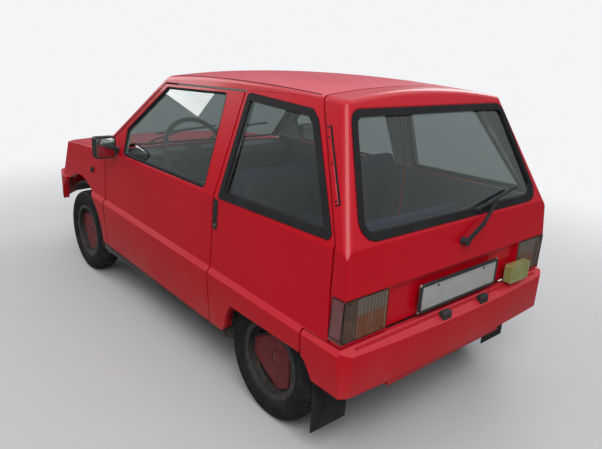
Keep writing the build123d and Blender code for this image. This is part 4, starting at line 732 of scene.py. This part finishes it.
def evenly(path, count, closed=False):
    # The same path with points at equal steps of its length
    path = np.asarray(path, float)
    path = np.vstack([path, path[:1]]) if closed else path
    run = np.concatenate([[0], np.cumsum(np.linalg.norm(np.diff(path, axis=0), axis=1))])
    at = np.linspace(0, run[-1], count + 1)[:-1] if closed else np.linspace(0, run[-1], count)
    return np.stack([np.interp(at, run, path[:, k]) for k in range(3)], 1)


def sweep(path, profile, up, closed=False):
    # point = path + side * profile x + lift * profile y, side = way x up, lift = side x way
    path, profile = np.asarray(path, float), np.asarray(profile, float)
    way = unit(np.roll(path, -1, 0) - np.roll(path, 1, 0)) if closed else unit(np.gradient(path, axis=0))
    side = unit(np.cross(way, np.broadcast_to(np.asarray(up, float), path.shape)))
    lift = np.cross(side, way)
    points = path[:, None] + side[:, None] * profile[None, :, :1] + lift[:, None] * profile[None, :, 1:]
    faces = [gridFaces(len(path), len(profile), closed, True)]
    return points.reshape(-1, 3), faces if closed else faces + endFaces(len(path), len(profile))


def turned(profile, centre, axis, count=24):
    # point = centre + axis * out + radius * (cos a * first + sin a * second) for profile rows (out, radius)
    profile, axis = np.asarray(profile, float), unit(axis)
    first = unit(np.cross(axis, (0, 0, 1) if abs(axis[2]) < 0.9 else (1, 0, 0)))
    second = np.cross(axis, first)
    a = np.arange(count) / count * 2 * pi
    circle = np.cos(a)[:, None] * first + np.sin(a)[:, None] * second
    points = centre + profile[:, None, :1] * axis + profile[:, None, 1:] * circle[None]
    rows = len(profile)
    return points.reshape(-1, 3), [gridFaces(rows, count, False, True)] + endFaces(rows, count)


def domed(centre, axis, radius, height, count, start=0.0):
    # A screw head: a low dome that begins at start along its axis
    dome = [(0.0, 1.0), (0.25, 0.98), (0.45, 0.8), (0.55, 0.4)]
    return turned([(start + out * height, r * radius) for out, r in dome], centre, axis, count)


def roundedBox(centre, half, rounding, frameOf=None, rows=8, cols=20):
    # point = centre + sign(n) * (half - rounding) + rounding * n, for the directions n of a sphere grid
    lat = ((np.arange(rows) + 0.5) / rows - 0.5)[:, None] * pi
    lon = ((np.arange(cols) + 0.5) / cols)[None] * 2 * pi
    n = np.stack([np.cos(lat) * np.cos(lon), np.cos(lat) * np.sin(lon), np.sin(lat) + 0 * lon], -1)
    shape = np.sign(n) * (np.asarray(half) - rounding) + rounding * n
    laid = shape.reshape(-1, 3) @ (np.eye(3) if frameOf is None else np.asarray(frameOf))
    return centre + laid, [gridFaces(rows, cols, False, True)] + endFaces(rows, cols)


def tilted(lean):
    # Rows are the box's own x, y and z after a lean about y: z goes to (sin, 0, cos)
    return np.array([(np.cos(lean), 0, -np.sin(lean)), (0, 1, 0), (np.sin(lean), 0, np.cos(lean))])


def paneLoop(name, normal, inset, count=160):
    # The outline of a flat pane: the hull of its corners in its own plane, drawn in by inset
    mesh = nodes[name].data
    found = np.empty(len(mesh.vertices) * 3)
    mesh.vertices.foreach_get("co", found)
    found = found.reshape(-1, 3)
    normal = unit(normal)
    right = unit(np.cross((0, 0, 1), normal))
    up = np.cross(normal, right)
    flat = np.stack([found @ right, found @ up], 1)
    hull = flat[geometry.convex_hull_2d([Vector(spot) for spot in flat])]
    loop = evenly(hull[:, :1] * right + hull[:, 1:] * up, count, True)
    way = unit(np.roll(loop, -1, 0) - np.roll(loop, 1, 0))
    inward = np.cross(normal, way)
    inward *= np.sign(np.sum(inward * (loop.mean(0) - loop)))
    return loop + inward * inset + normal * (found @ normal).max()


def landOn(names, points, way):
    # Where a ray from each point of a path first meets the named nodes; a miss takes its neighbours' depth
    depth = []
    for spot in points:
        hits = [nodes[name].ray_cast(Vector(spot), Vector(way)) for name in names]
        depth.append(min([(hit[1] - Vector(spot)).length for hit in hits if hit[0]], default=np.nan))
    depth = np.array(depth)
    met = np.flatnonzero(~np.isnan(depth))
    depth = np.interp(np.arange(len(points)), met, depth[met])
    return np.asarray(points) + depth[:, None] * unit(way)


def strip(width, low, high, soft):
    # Flat bead profile, its upper corners eased
    half = width / 2
    first = [(-half, low), (-half, high - soft), (-half + soft, high)]
    return first + [(half - soft, high), (half, high - soft), (half, low)]


# Tyres: four grooves round the tread, cross slots between them, rings and fins on the side walls
tyre = {
    "section": [  # offset, radius, from the bead to the crown
        (0.0495, 0.1530), (0.0495, 0.1675), (0.0560, 0.1695), (0.0625, 0.1830), (0.0668, 0.2050),
        (0.0655, 0.2230), (0.0610, 0.2400), (0.0525, 0.2490), (0.0400, 0.2535), (0.0200, 0.2553),
        (0.0000, 0.2558),
    ],
    "rows": 84,
    "pitches": 66,
    "perPitch": 6,
    "grooves": (0.0105, 0.0300),  # offset, on either side
    "groove": (0.0026, 0.001),  # half width and edge
    "depth": 0.0055,
    "tread": 0.0500,  # half width
    "treadEdge": 0.003,
    "slot": (0.16, 0.08),  # half width and edge, in pitches, at the shoulders
    "sipe": (0.10, 0.08),  # the same in the middle
    "sipeDepth": 0.7,
    "sipeSlant": 26,
    "rings": (0.2165, 0.1950),  # radius
    "ring": (0.0012, 0.0008),
    "ringHeight": 0.0007,
    "finsAt": 0.2320,
    "fins": (0.0050, 0.002),
    "finHeight": 0.0006,
    "widest": 0.0673,
}


def pulse(value, half, soft):
    # 1 near zero, falling to 0 beyond half
    return np.clip((half + soft - np.abs(value)) / soft, 0, 1)


def tyreShell(centre):
    half = np.array(tyre["section"])
    line = np.vstack([half, half[-2::-1] * (-1, 1)])
    line = evenly(np.hstack([line, np.zeros((len(line), 1))]), tyre["rows"])[:, :2]
    line[2:-2] = (line[1:-3] + 2 * line[2:-2] + line[3:-1]) / 4
    count = tyre["pitches"] * tyre["perPitch"]
    turnAt = np.arange(count) / count
    phase = turnAt * tyre["pitches"]
    out, radius = line[:, :1], line[:, 1:]
    wide = np.abs(out)
    onTread = np.clip((tyre["tread"] - wide) / tyre["treadEdge"], 0, 1)
    grooves = sum(pulse(wide - at, *tyre["groove"]) for at in tyre["grooves"])
    atShoulder = wide > tyre["grooves"][1]
    slots = pulse((phase + 0.5 * (out > 0)) % 1 - 0.5, *tyre["slot"]) * atShoulder
    sipes = pulse((phase + out * tyre["sipeSlant"]) % 1 - 0.5, *tyre["sipe"]) * ~atShoulder
    cut = onTread * np.clip(grooves + slots + tyre["sipeDepth"] * sipes, 0, 1) * tyre["depth"]
    rings = tyre["ringHeight"] * sum(pulse(radius - at, *tyre["ring"]) for at in tyre["rings"])
    fins = tyre["finHeight"] * pulse(radius - tyre["finsAt"], *tyre["fins"]) * ((phase * 3) % 1 > 0.5)
    out = np.clip(out + (rings + fins) * np.sign(out), -tyre["widest"], tyre["widest"])
    reach = radius - cut
    a = turnAt * 2 * pi
    points = np.stack([reach * np.cos(a), out + 0 * a, reach * np.sin(a)], -1) + centre
    return points.reshape(-1, 3), [gridFaces(tyre["rows"], count, True, True)]


# Wheels: tyres with tread, and four bolt heads and three dimples on each centre plate
wheels = {"front_left": 120, "front_right": 20, "rear_left": 30, "rear_right": 75}  # degrees on
bolts = {
    "count": 4,
    "circle": 0.049,
    "firstAngle": 45,
    "sides": 6,
    "section": [(0.0195, 0.0062), (0.0252, 0.0062), (0.0262, 0.0050)],  # out, radius
}
dimples = {
    "count": 3,
    "circle": 0.089,
    "firstAngle": 60,
    "sides": 16,
    "section": [(0.0280, 0.0062), (0.0305, 0.0062), (0.0305, 0.0040), (0.0292, 0.0030)],
}
boltMetal = metalMaterial("wheelBolts", (0.05, 0.045, 0.042, 1), 0.55, 60.0, 0.5, 0.7, 0.1)


def aroundHub(like, centre, degreesOn):
    # spot = centre + circle * (sin a, 0, cos a)
    parts = []
    for k in range(like["count"]):
        a = radians(like["firstAngle"] + 360 / like["count"] * k + degreesOn)
        spot = centre + like["circle"] * np.array((np.sin(a), 0, np.cos(a)))
        parts.append(turned(like["section"], spot, (0, np.sign(centre[1]), 0), like["sides"]))
    return parts


for wheel, degreesOn in wheels.items():
    name = "tyre_" + wheel
    centre = boxCentre(name)
    rubber = nodes[name].data.materials[0]
    addPiece("treadedTyre_" + wheel, [tyreShell(centre)], "wheel_" + wheel, rubber, [name], 50)
    onPlate = aroundHub(bolts, centre, degreesOn) + aroundHub(dimples, centre, degreesOn)
    addPiece("wheelBolts_" + wheel, onPlate, "wheel_" + wheel, boltMetal)
print("wheels done")

# Rear pillar strips: a body-coloured strip held by four screws, on a black band that shows the dark gap along
# one edge and paints its shadow
pillarStrip = {
    "top": (-1.1500, 0, 1.2070),
    "foot": (-1.2990, 0, 0.9790),
    "points": 24,
    "bead": (0.015, -0.001, 0.0028, 0.0012),
    "gapShadow": (0.0240, -0.001, 0.0012, 0.0004),
    "gapShadowShift": -0.0040,
    "overrun": 0.35,  # past each end, of a step
    "screws": (0.02, 0.17, 0.49, 0.97),
    "screw": (0.0046, 0.003, 12, 0.0023),  # radius, height, sides, start
}
sideNormal = unit((0, 1, flank["tumble"]))
stripPath = np.linspace(pillarStrip["top"], pillarStrip["foot"], pillarStrip["points"])
stripPath[:, 1] = flank["beltY"] - (stripPath[:, 2] - flank["beltZ"]) * flank["tumble"]
overrun = (stripPath[1:2] - stripPath[:1]) * pillarStrip["overrun"]
gapShadowPath = np.vstack([stripPath[:1] - overrun, stripPath, stripPath[-1:] + overrun])
# The black band sits off to one side: the dark gap and painted shadow beside the strip
gapShadowProfile = np.array(strip(*pillarStrip["gapShadow"])) + (pillarStrip["gapShadowShift"], 0)
screwSpots = [stripPath[int(at * (pillarStrip["points"] - 1))] for at in pillarStrip["screws"]]
gapShadowAndScrewParts = [sweep(gapShadowPath, gapShadowProfile, sideNormal)]
gapShadowAndScrewParts += [domed(spot, sideNormal, *pillarStrip["screw"]) for spot in screwSpots]
stripPart = sweep(stripPath, strip(*pillarStrip["bead"]), sideNormal)
bothSides("pillarStrip", [stripPart], "rear_gate", paintPlain)
bothSides("pillarGapShadowAndScrews", gapShadowAndScrewParts, "rear_gate", blackRubber)

# Door handles: a black cup with its lever and lock, behind the door's rear edge
handle = {
    "x": -0.637,
    "z": 0.779,
    "half": (0.015, 0.063),
    "corner": 0.008,
    "lever": (0.010, 0.0035, 0.034),
    "floor": (0.0148, 0.0008, 0.0620),
    "lockZ": 0.732,
    "lock": [(-0.001, 0.0075), (0.0022, 0.0075), (0.003, 0.0065), (0.003, 0.003), (0.0022, 0.0028)],
}
halfX, halfZ = handle["half"]
cupLoop = rectangle((handle["x"], 0.8, handle["z"]), (halfX, 0, 0), (0, 0, halfZ), handle["corner"])
cupLoop = landOn(["quarter_left"], evenly(cupLoop, 90, True), (0, -1, 0))
heights = [handle["z"] - halfZ, handle["z"], handle["z"] + halfZ, handle["lockZ"]]
low, middle, high, lockAt = landOn(["quarter_left"], [(handle["x"], 0.8, z) for z in heights], (0, -1, 0))
cupNormal = unit((0, high[2] - low[2], low[1] - high[1]))
cupFrame = np.array([(1, 0, 0), cupNormal, (0, -cupNormal[2], cupNormal[1])])
cupParts = [
    sweep(cupLoop, strip(0.005, -0.001, 0.0022, 0.0008), cupNormal, True),
    roundedBox(middle, handle["floor"], 0.0008, cupFrame),
    roundedBox(middle + cupNormal * 0.003 + (0.001, 0, 0.008), handle["lever"], 0.0032, cupFrame),
]
bothSides("handleCup", cupParts, "chassis", blackPlastic)
bothSides("doorLock", [turned(handle["lock"], lockAt, (0, 1, 0), 20)], "chassis", castMetal)

# Window rubbers: a bead in the corner between glass and panel
rubbers = {
    "door": (0.014, -0.002, 0.0065, 0.003),
    "screen": (0.022, -0.002, 0.0055, 0.0025),
    "screenNormal": (0.832, 0, 1.0),
}
for hand, sign in (("left", 1), ("right", -1)):
    outward = (0, sign, flank["tumble"])
    bead = sweep(paneLoop("door_glass_" + hand, outward, 0.006), strip(*rubbers["door"]), outward, True)
    addPiece("doorRubber_" + hand, [bead], hand + "_door", greyRubber)
screenLoop = paneLoop("windscreen", rubbers["screenNormal"], 0.008, 220)
bead = sweep(screenLoop, strip(*rubbers["screen"]), rubbers["screenNormal"], True)
addPiece("screenRubber", [bead], "chassis", greyRubber)
print("rubbers done")

# Door mirrors: silvered glass in each housing
mirrorAt = {"place": (0.3328, 0.716, 0.898), "half": (0.0008, 0.0485, 0.0495), "rounding": 0.0007}
silver, tree, shader = startMaterial("silveredGlass", Metallic=1.0)
coord = position(tree)
spotted = ramp(noise(coord, 30.0), 0.4, 0.7)
silvered = blend(spotted, (0.55, 0.55, 0.53, 1), (0.42, 0.42, 0.40, 1))
joinMaterial(shader, silvered, times(noise(coord, 14.0), 0.16))
glassPart = roundedBox(mirrorAt["place"], mirrorAt["half"], mirrorAt["rounding"])
bothSides("mirrorGlass", [glassPart], ("left_door", "right_door"), silver)

# Rear number plate: blank, in a black frame with two bolts
plate = {
    "centre": (-1.4330, 0, 0.596),
    "half": (0.260, 0.0575),
    "frameInset": (0.004, 0.004, 0.010),  # at the sides, above and below, and corner radius
    "frame": (0.011, -0.006, 0.0030, 0.0012),
    "rimInset": (0.016, 0.015, 0.008),
    "rim": (0.0028, -0.001, 0.0012, 0.0006),
    "bolt": (0.155, 0.038),
}
rearward = (-1, 0, 0)


def plateBead(insetY, insetZ, radius, profile):
    halfY, halfZ = plate["half"]
    loop = rectangle(plate["centre"], (0, halfY - insetY, 0), (0, 0, halfZ - insetZ), radius)
    return sweep(loop, strip(*profile), rearward, True)


frameParts = [plateBead(*plate["frameInset"], plate["frame"])]
for sign in (-1, 1):
    spot = np.add(plate["centre"], (0, sign * plate["bolt"][0], plate["bolt"][1]))
    frameParts.append(domed(spot, rearward, 0.006, 0.004, 16))
addPiece("plateFrame", frameParts, "rear_gate", blackPlastic)
addPiece("plateRim", [plateBead(*plate["rimInset"], plate["rim"])], "rear_gate", plateWhite)

# Tail lamp gaskets: thin black frames on the rear and the side of each lens, and two screws
gasket = {
    "on": ["tail_lamps", "tailgate"],
    "rear": ((-1.60, 0.54625, 0.6110), (0, 0.10775, 0), (0, 0, 0.0765), 0.006),
    "side": ((-1.3935, 0.80, 0.6160), (0.0280, 0, 0), (0, 0, 0.0715), 0.004),
    "rearBead": (0.0035, -0.001, 0.0012, 0.0005),
    "sideBead": (0.0030, -0.001, 0.0010, 0.0004),
    "screws": ((-1.4250, 0.462, 0.545), (-1.4250, 0.630, 0.676)),
}
rearLoop = landOn(gasket["on"], evenly(rectangle(*gasket["rear"]), 80, True), (1, 0, 0))
sideLoop = landOn(gasket["on"], evenly(rectangle(*gasket["side"]), 60, True), (0, -1, 0))
gasketParts = [
    sweep(rearLoop, strip(*gasket["rearBead"]), rearward, True),
    sweep(sideLoop, strip(*gasket["sideBead"]), (0, 1, 0), True),
]
gasketParts += [domed(spot, rearward, 0.0042, 0.003, 12) for spot in gasket["screws"]]
bothSides("lampGasket", gasketParts, "rear_gate", blackRubber)

# Plate lamps: a black dome over each lens on the bumper's top
lampDome = {"x": -1.4615, "z": 0.5160, "half": (0.0125, 0.027, 0.0125), "y": {"left": 0.117, "right": -0.141}}
for hand, wide in lampDome["y"].items():
    dome = roundedBox((lampDome["x"], wide, lampDome["z"]), lampDome["half"], 0.0124, None, 12, 32)
    addPiece("plateLampDome_" + hand, [dome], "chassis", blackPlastic)
print("tail details done")


# Cushions: two grids joined at the seam, thickness (1 - |u|^6)^(1/3) (1 - |v|^6)^(1/3), crowned towards
# the middle, sides drawn in by pull (1 - v^2), with sewn channels pressed into the upper face
def cushion(centre, half, way, over, across=(), along=(), rows=72, cols=90):
    u = np.sin(np.linspace(-1, 1, rows) * pi / 2)[:, None]
    v = np.sin(np.linspace(-1, 1, cols) * pi / 2)[None]
    flat = 0 * u * v
    thick = (1 - np.abs(u) ** 6) ** (1 / 3) * (1 - np.abs(v) ** 6) ** (1 / 3)
    sewn = sum([np.exp(-(((u - at) * half[0] / sewing["channel"]) ** 2)) + flat for at in across], flat)
    sewn = sewn + sum([np.exp(-(((v - at) * half[1] / sewing["channel"]) ** 2)) + flat for at in along], flat)
    crowned = 1 - sewing["crown"] * (1 - (1 - u**2) * (1 - v**2))
    level = crowned - sewing["depth"] * np.clip(sewn, 0, 1)
    corner = 1 - 0.07 * (np.abs(u) * np.abs(v)) ** 10
    length = u * (1 - sewing["pull"] * (1 - v**2)) * corner * half[0]
    width = v * (1 - sewing["pull"] * (1 - u**2)) * corner * half[1]
    way, over = unit(way), unit(over)
    sideways = np.cross(over, way)
    flatSheet = centre + length[..., None] * way + width[..., None] * sideways
    sheets = [flatSheet + (high * half[2])[..., None] * over for high in (thick * level, -0.85 * thick)]
    faces = gridFaces(rows, cols)
    return np.concatenate([sheet.reshape(-1, 3) for sheet in sheets]), [faces, faces + rows * cols]


def upright(lean):
    # Directions up and forward of a backrest that leans back by an angle
    return (-np.sin(lean), 0, np.cos(lean)), (np.cos(lean), 0, np.sin(lean))


sewing = {"channel": 0.007, "pull": 0.035, "crown": 0.12, "depth": 0.16}
frontSeat = {
    "y": 0.290,
    "cushion": ((-0.188, 0.290, 0.393), (0.222, 0.228, 0.064)),
    "lift": 4.0,  # of the cushion's front, degrees
    "back": ((-0.530, 0.290, 0.668), (0.284, 0.222, 0.048)),
    "lean": 13.6,
    "base": ((-0.220, 0.290, 0.269), (0.198, 0.148, 0.064), 0.012),
    "pan": ((-0.198, 0.290, 0.335), (0.195, 0.205, 0.006), 0.005),
    "spine": ((-0.570, 0.290, 0.658), (0.004, 0.195, 0.250), 0.004),
    "cushionChannels": ((-0.45, -0.1, 0.25), (-0.68, 0.68)),
    "backChannels": ((-0.55, -0.2, 0.15, 0.5), (-0.68, 0.68)),
    "knob": [(0, 0.022), (0.010, 0.022), (0.012, 0.019)],
    "knobAt": (-0.462, 0.222, 0.420),
}
over, way = upright(radians(frontSeat["lift"]))
up, ahead = upright(radians(frontSeat["lean"]))
seat = cushion(*frontSeat["cushion"], way, over, *frontSeat["cushionChannels"])
rest = cushion(*frontSeat["back"], up, ahead, *frontSeat["backChannels"])
knobX, knobY, knobZ = frontSeat["knobAt"]
seatFrame = [
    roundedBox(*frontSeat["base"]),
    roundedBox(*frontSeat["pan"]),
    roundedBox(*frontSeat["spine"], tilted(radians(-frontSeat["lean"]))),
] + [turned(frontSeat["knob"], (knobX, frontSeat["y"] + s * knobY, knobZ), (0, s, 0), 24) for s in (-1, 1)]
pads = bothSides("seatCushion", [seat], "chassis", seatCloth, ["seats_front"], 60)
pads += bothSides("seatBack", [rest], "chassis", seatCloth, ["seats_front"], 60)
bothSides("seatBase", seatFrame, "chassis", blackPlastic, ["seats_front"])

bench = {
    "cushion": ((-0.846, 0, 0.415), (0.143, 0.450, 0.052)),
    "back": ((-1.038, 0, 0.598), (0.205, 0.450, 0.034)),
    "lean": 14.8,
    "channels": ((-0.35, 0.3), (-0.75, 0.0, 0.75)),
    "grid": (60, 150),
}
seat = cushion(*bench["cushion"], (1, 0, 0), (0, 0, 1), *bench["channels"], *bench["grid"])
rest = cushion(*bench["back"], *upright(radians(bench["lean"])), *bench["channels"], *bench["grid"])
for label, part in (("benchCushion", seat), ("benchBack", rest)):
    pads.append(addPiece(label, [part], "chassis", seatCloth, ["rear_bench"], 60))
print("seats done")

# Door panels: a card with armrest, pull and window crank
doorTrim = {
    "card": ((-0.050, 0.598, 0.600), (0.470, 0.004, 0.200), 0.004),
    "armrest": ((-0.080, 0.580, 0.600), (0.150, 0.018, 0.026), 0.014),
    "pull": ((0.150, 0.586, 0.700), (0.045, 0.006, 0.010), 0.005),
    "crankArm": ((0.122, 0.582, 0.538), (0.045, 0.004, 0.007), 0.004),
    "crankHub": ((0.160, 0.596, 0.560), [(0, 0.020), (0.010, 0.020), (0.013, 0.014)]),
    "crankKnob": ((0.090, 0.592, 0.520), [(0.010, 0.008), (0.030, 0.010), (0.034, 0.007)]),
}
trimVinyl = grainMaterial("trimVinyl", (0.020, 0.021, 0.026, 1), 0.6, 380.0, 0.0006, 0.2, 0.0)
doorParts = [roundedBox(*doorTrim[part]) for part in ("card", "armrest", "pull")] + [
    turned(doorTrim["crankHub"][1], doorTrim["crankHub"][0], (0, -1, 0), 24),
    roundedBox(*doorTrim["crankArm"], tilted(radians(-30))),
    turned(doorTrim["crankKnob"][1], doorTrim["crankKnob"][0], (0, -1, 0), 16),
]
bothSides("doorCard", doorParts, ("left_door", "right_door"), trimVinyl)

# Instruments: a hood over two blank dials
hood = {
    "y": 0.300,
    "dialZ": 0.775,
    "dialGap": 0.075,
    "z": 0.826,
    "half": (0.055, 0.155, 0.011),
    "dial": [(-0.002, 0.046), (0.006, 0.046), (0.006, 0.041), (0.002, 0.038), (0.002, 0.001)],
}
dialSpots = [(0.0, hood["y"] + s * hood["dialGap"], hood["dialZ"]) for s in (-1, 1)]
dialSpots = landOn(["dashboard"], dialSpots, (1, 0, 0))
dials = [turned(hood["dial"], spot, rearward, 40) for spot in dialSpots]
hoodPart = roundedBox((float(dialSpots[0][0]) + 0.045, hood["y"], hood["z"]), hood["half"], 0.009)
addPiece("instruments", dials + [hoodPart], "chassis", dashPlastic)

# Gear lever and handbrake, standing on the floor pan
levers = {
    "stick": [(0, 0, -0.004), (0.006, 0, 0.10), (-0.020, 0, 0.235)],
    "knob": ((-0.001, 0, 0.012), (0.019, 0.017, 0.022), 0.016),
    "boot": [(-0.004, 0.055), (0.012, 0.050), (0.024, 0.034), (0.034, 0.032), (0.046, 0.018), (0.060, 0.010)],
    "brake": [(0, 0, 0.010), (0.10, 0, 0.055), (0.215, 0, 0.092)],
    "gripFrom": (0.12, 0, 0.062),
}
circle = np.array([(np.cos(a), np.sin(a)) for a in np.arange(12) / 12 * 2 * pi])
gearFoot, brakeFoot = landOn(["floor_pan"], [(0.060, 0.0, 1.0), (-0.330, 0.0, 1.0)], (0, 0, -1))
place, half, rounding = levers["knob"]
gearParts = [
    sweep(evenly(gearFoot + np.array(levers["stick"]), 24), circle * 0.006, (0, 1, 0)),
    roundedBox(gearFoot + levers["stick"][-1] + place, half, rounding, None, 14, 28),
    turned(levers["boot"], gearFoot, (0, 0, 1), 32),
]
brakePath = brakeFoot + np.array(levers["brake"])
brakeParts = [
    sweep(evenly(brakePath, 20), circle * (0.010, 0.013), (0, 1, 0)),
    sweep(evenly([brakeFoot + levers["gripFrom"], brakePath[2]], 12), circle * (0.014, 0.016), (0, 1, 0)),
]
addPiece("gearLever", gearParts, "chassis", blackPlastic)
addPiece("handbrake", brakeParts, "chassis", blackPlastic)

# Roof sides: a black bead along the line where the rail meets the roof skin, painting the shade of the fold
# there
roofFoldShade = {
    "rear": (-1.060, 0.474, 1.6),
    "front": (0.020, 0.474, 1.6),
    "bead": (0.0045, -0.0015, 0.0009, 0.0004),
}
foldShadePath = landOn(["roof"], np.linspace(roofFoldShade["rear"], roofFoldShade["front"], 90), (0, 0, -1))
# Painted shade: a black bead for the dark line of the fold
foldShadeBead = sweep(foldShadePath, strip(*roofFoldShade["bead"]), (0, 0.4, 1))
bothSides("roofFoldShade", [foldShadeBead], "chassis", blackRubber)
print("cabin done")
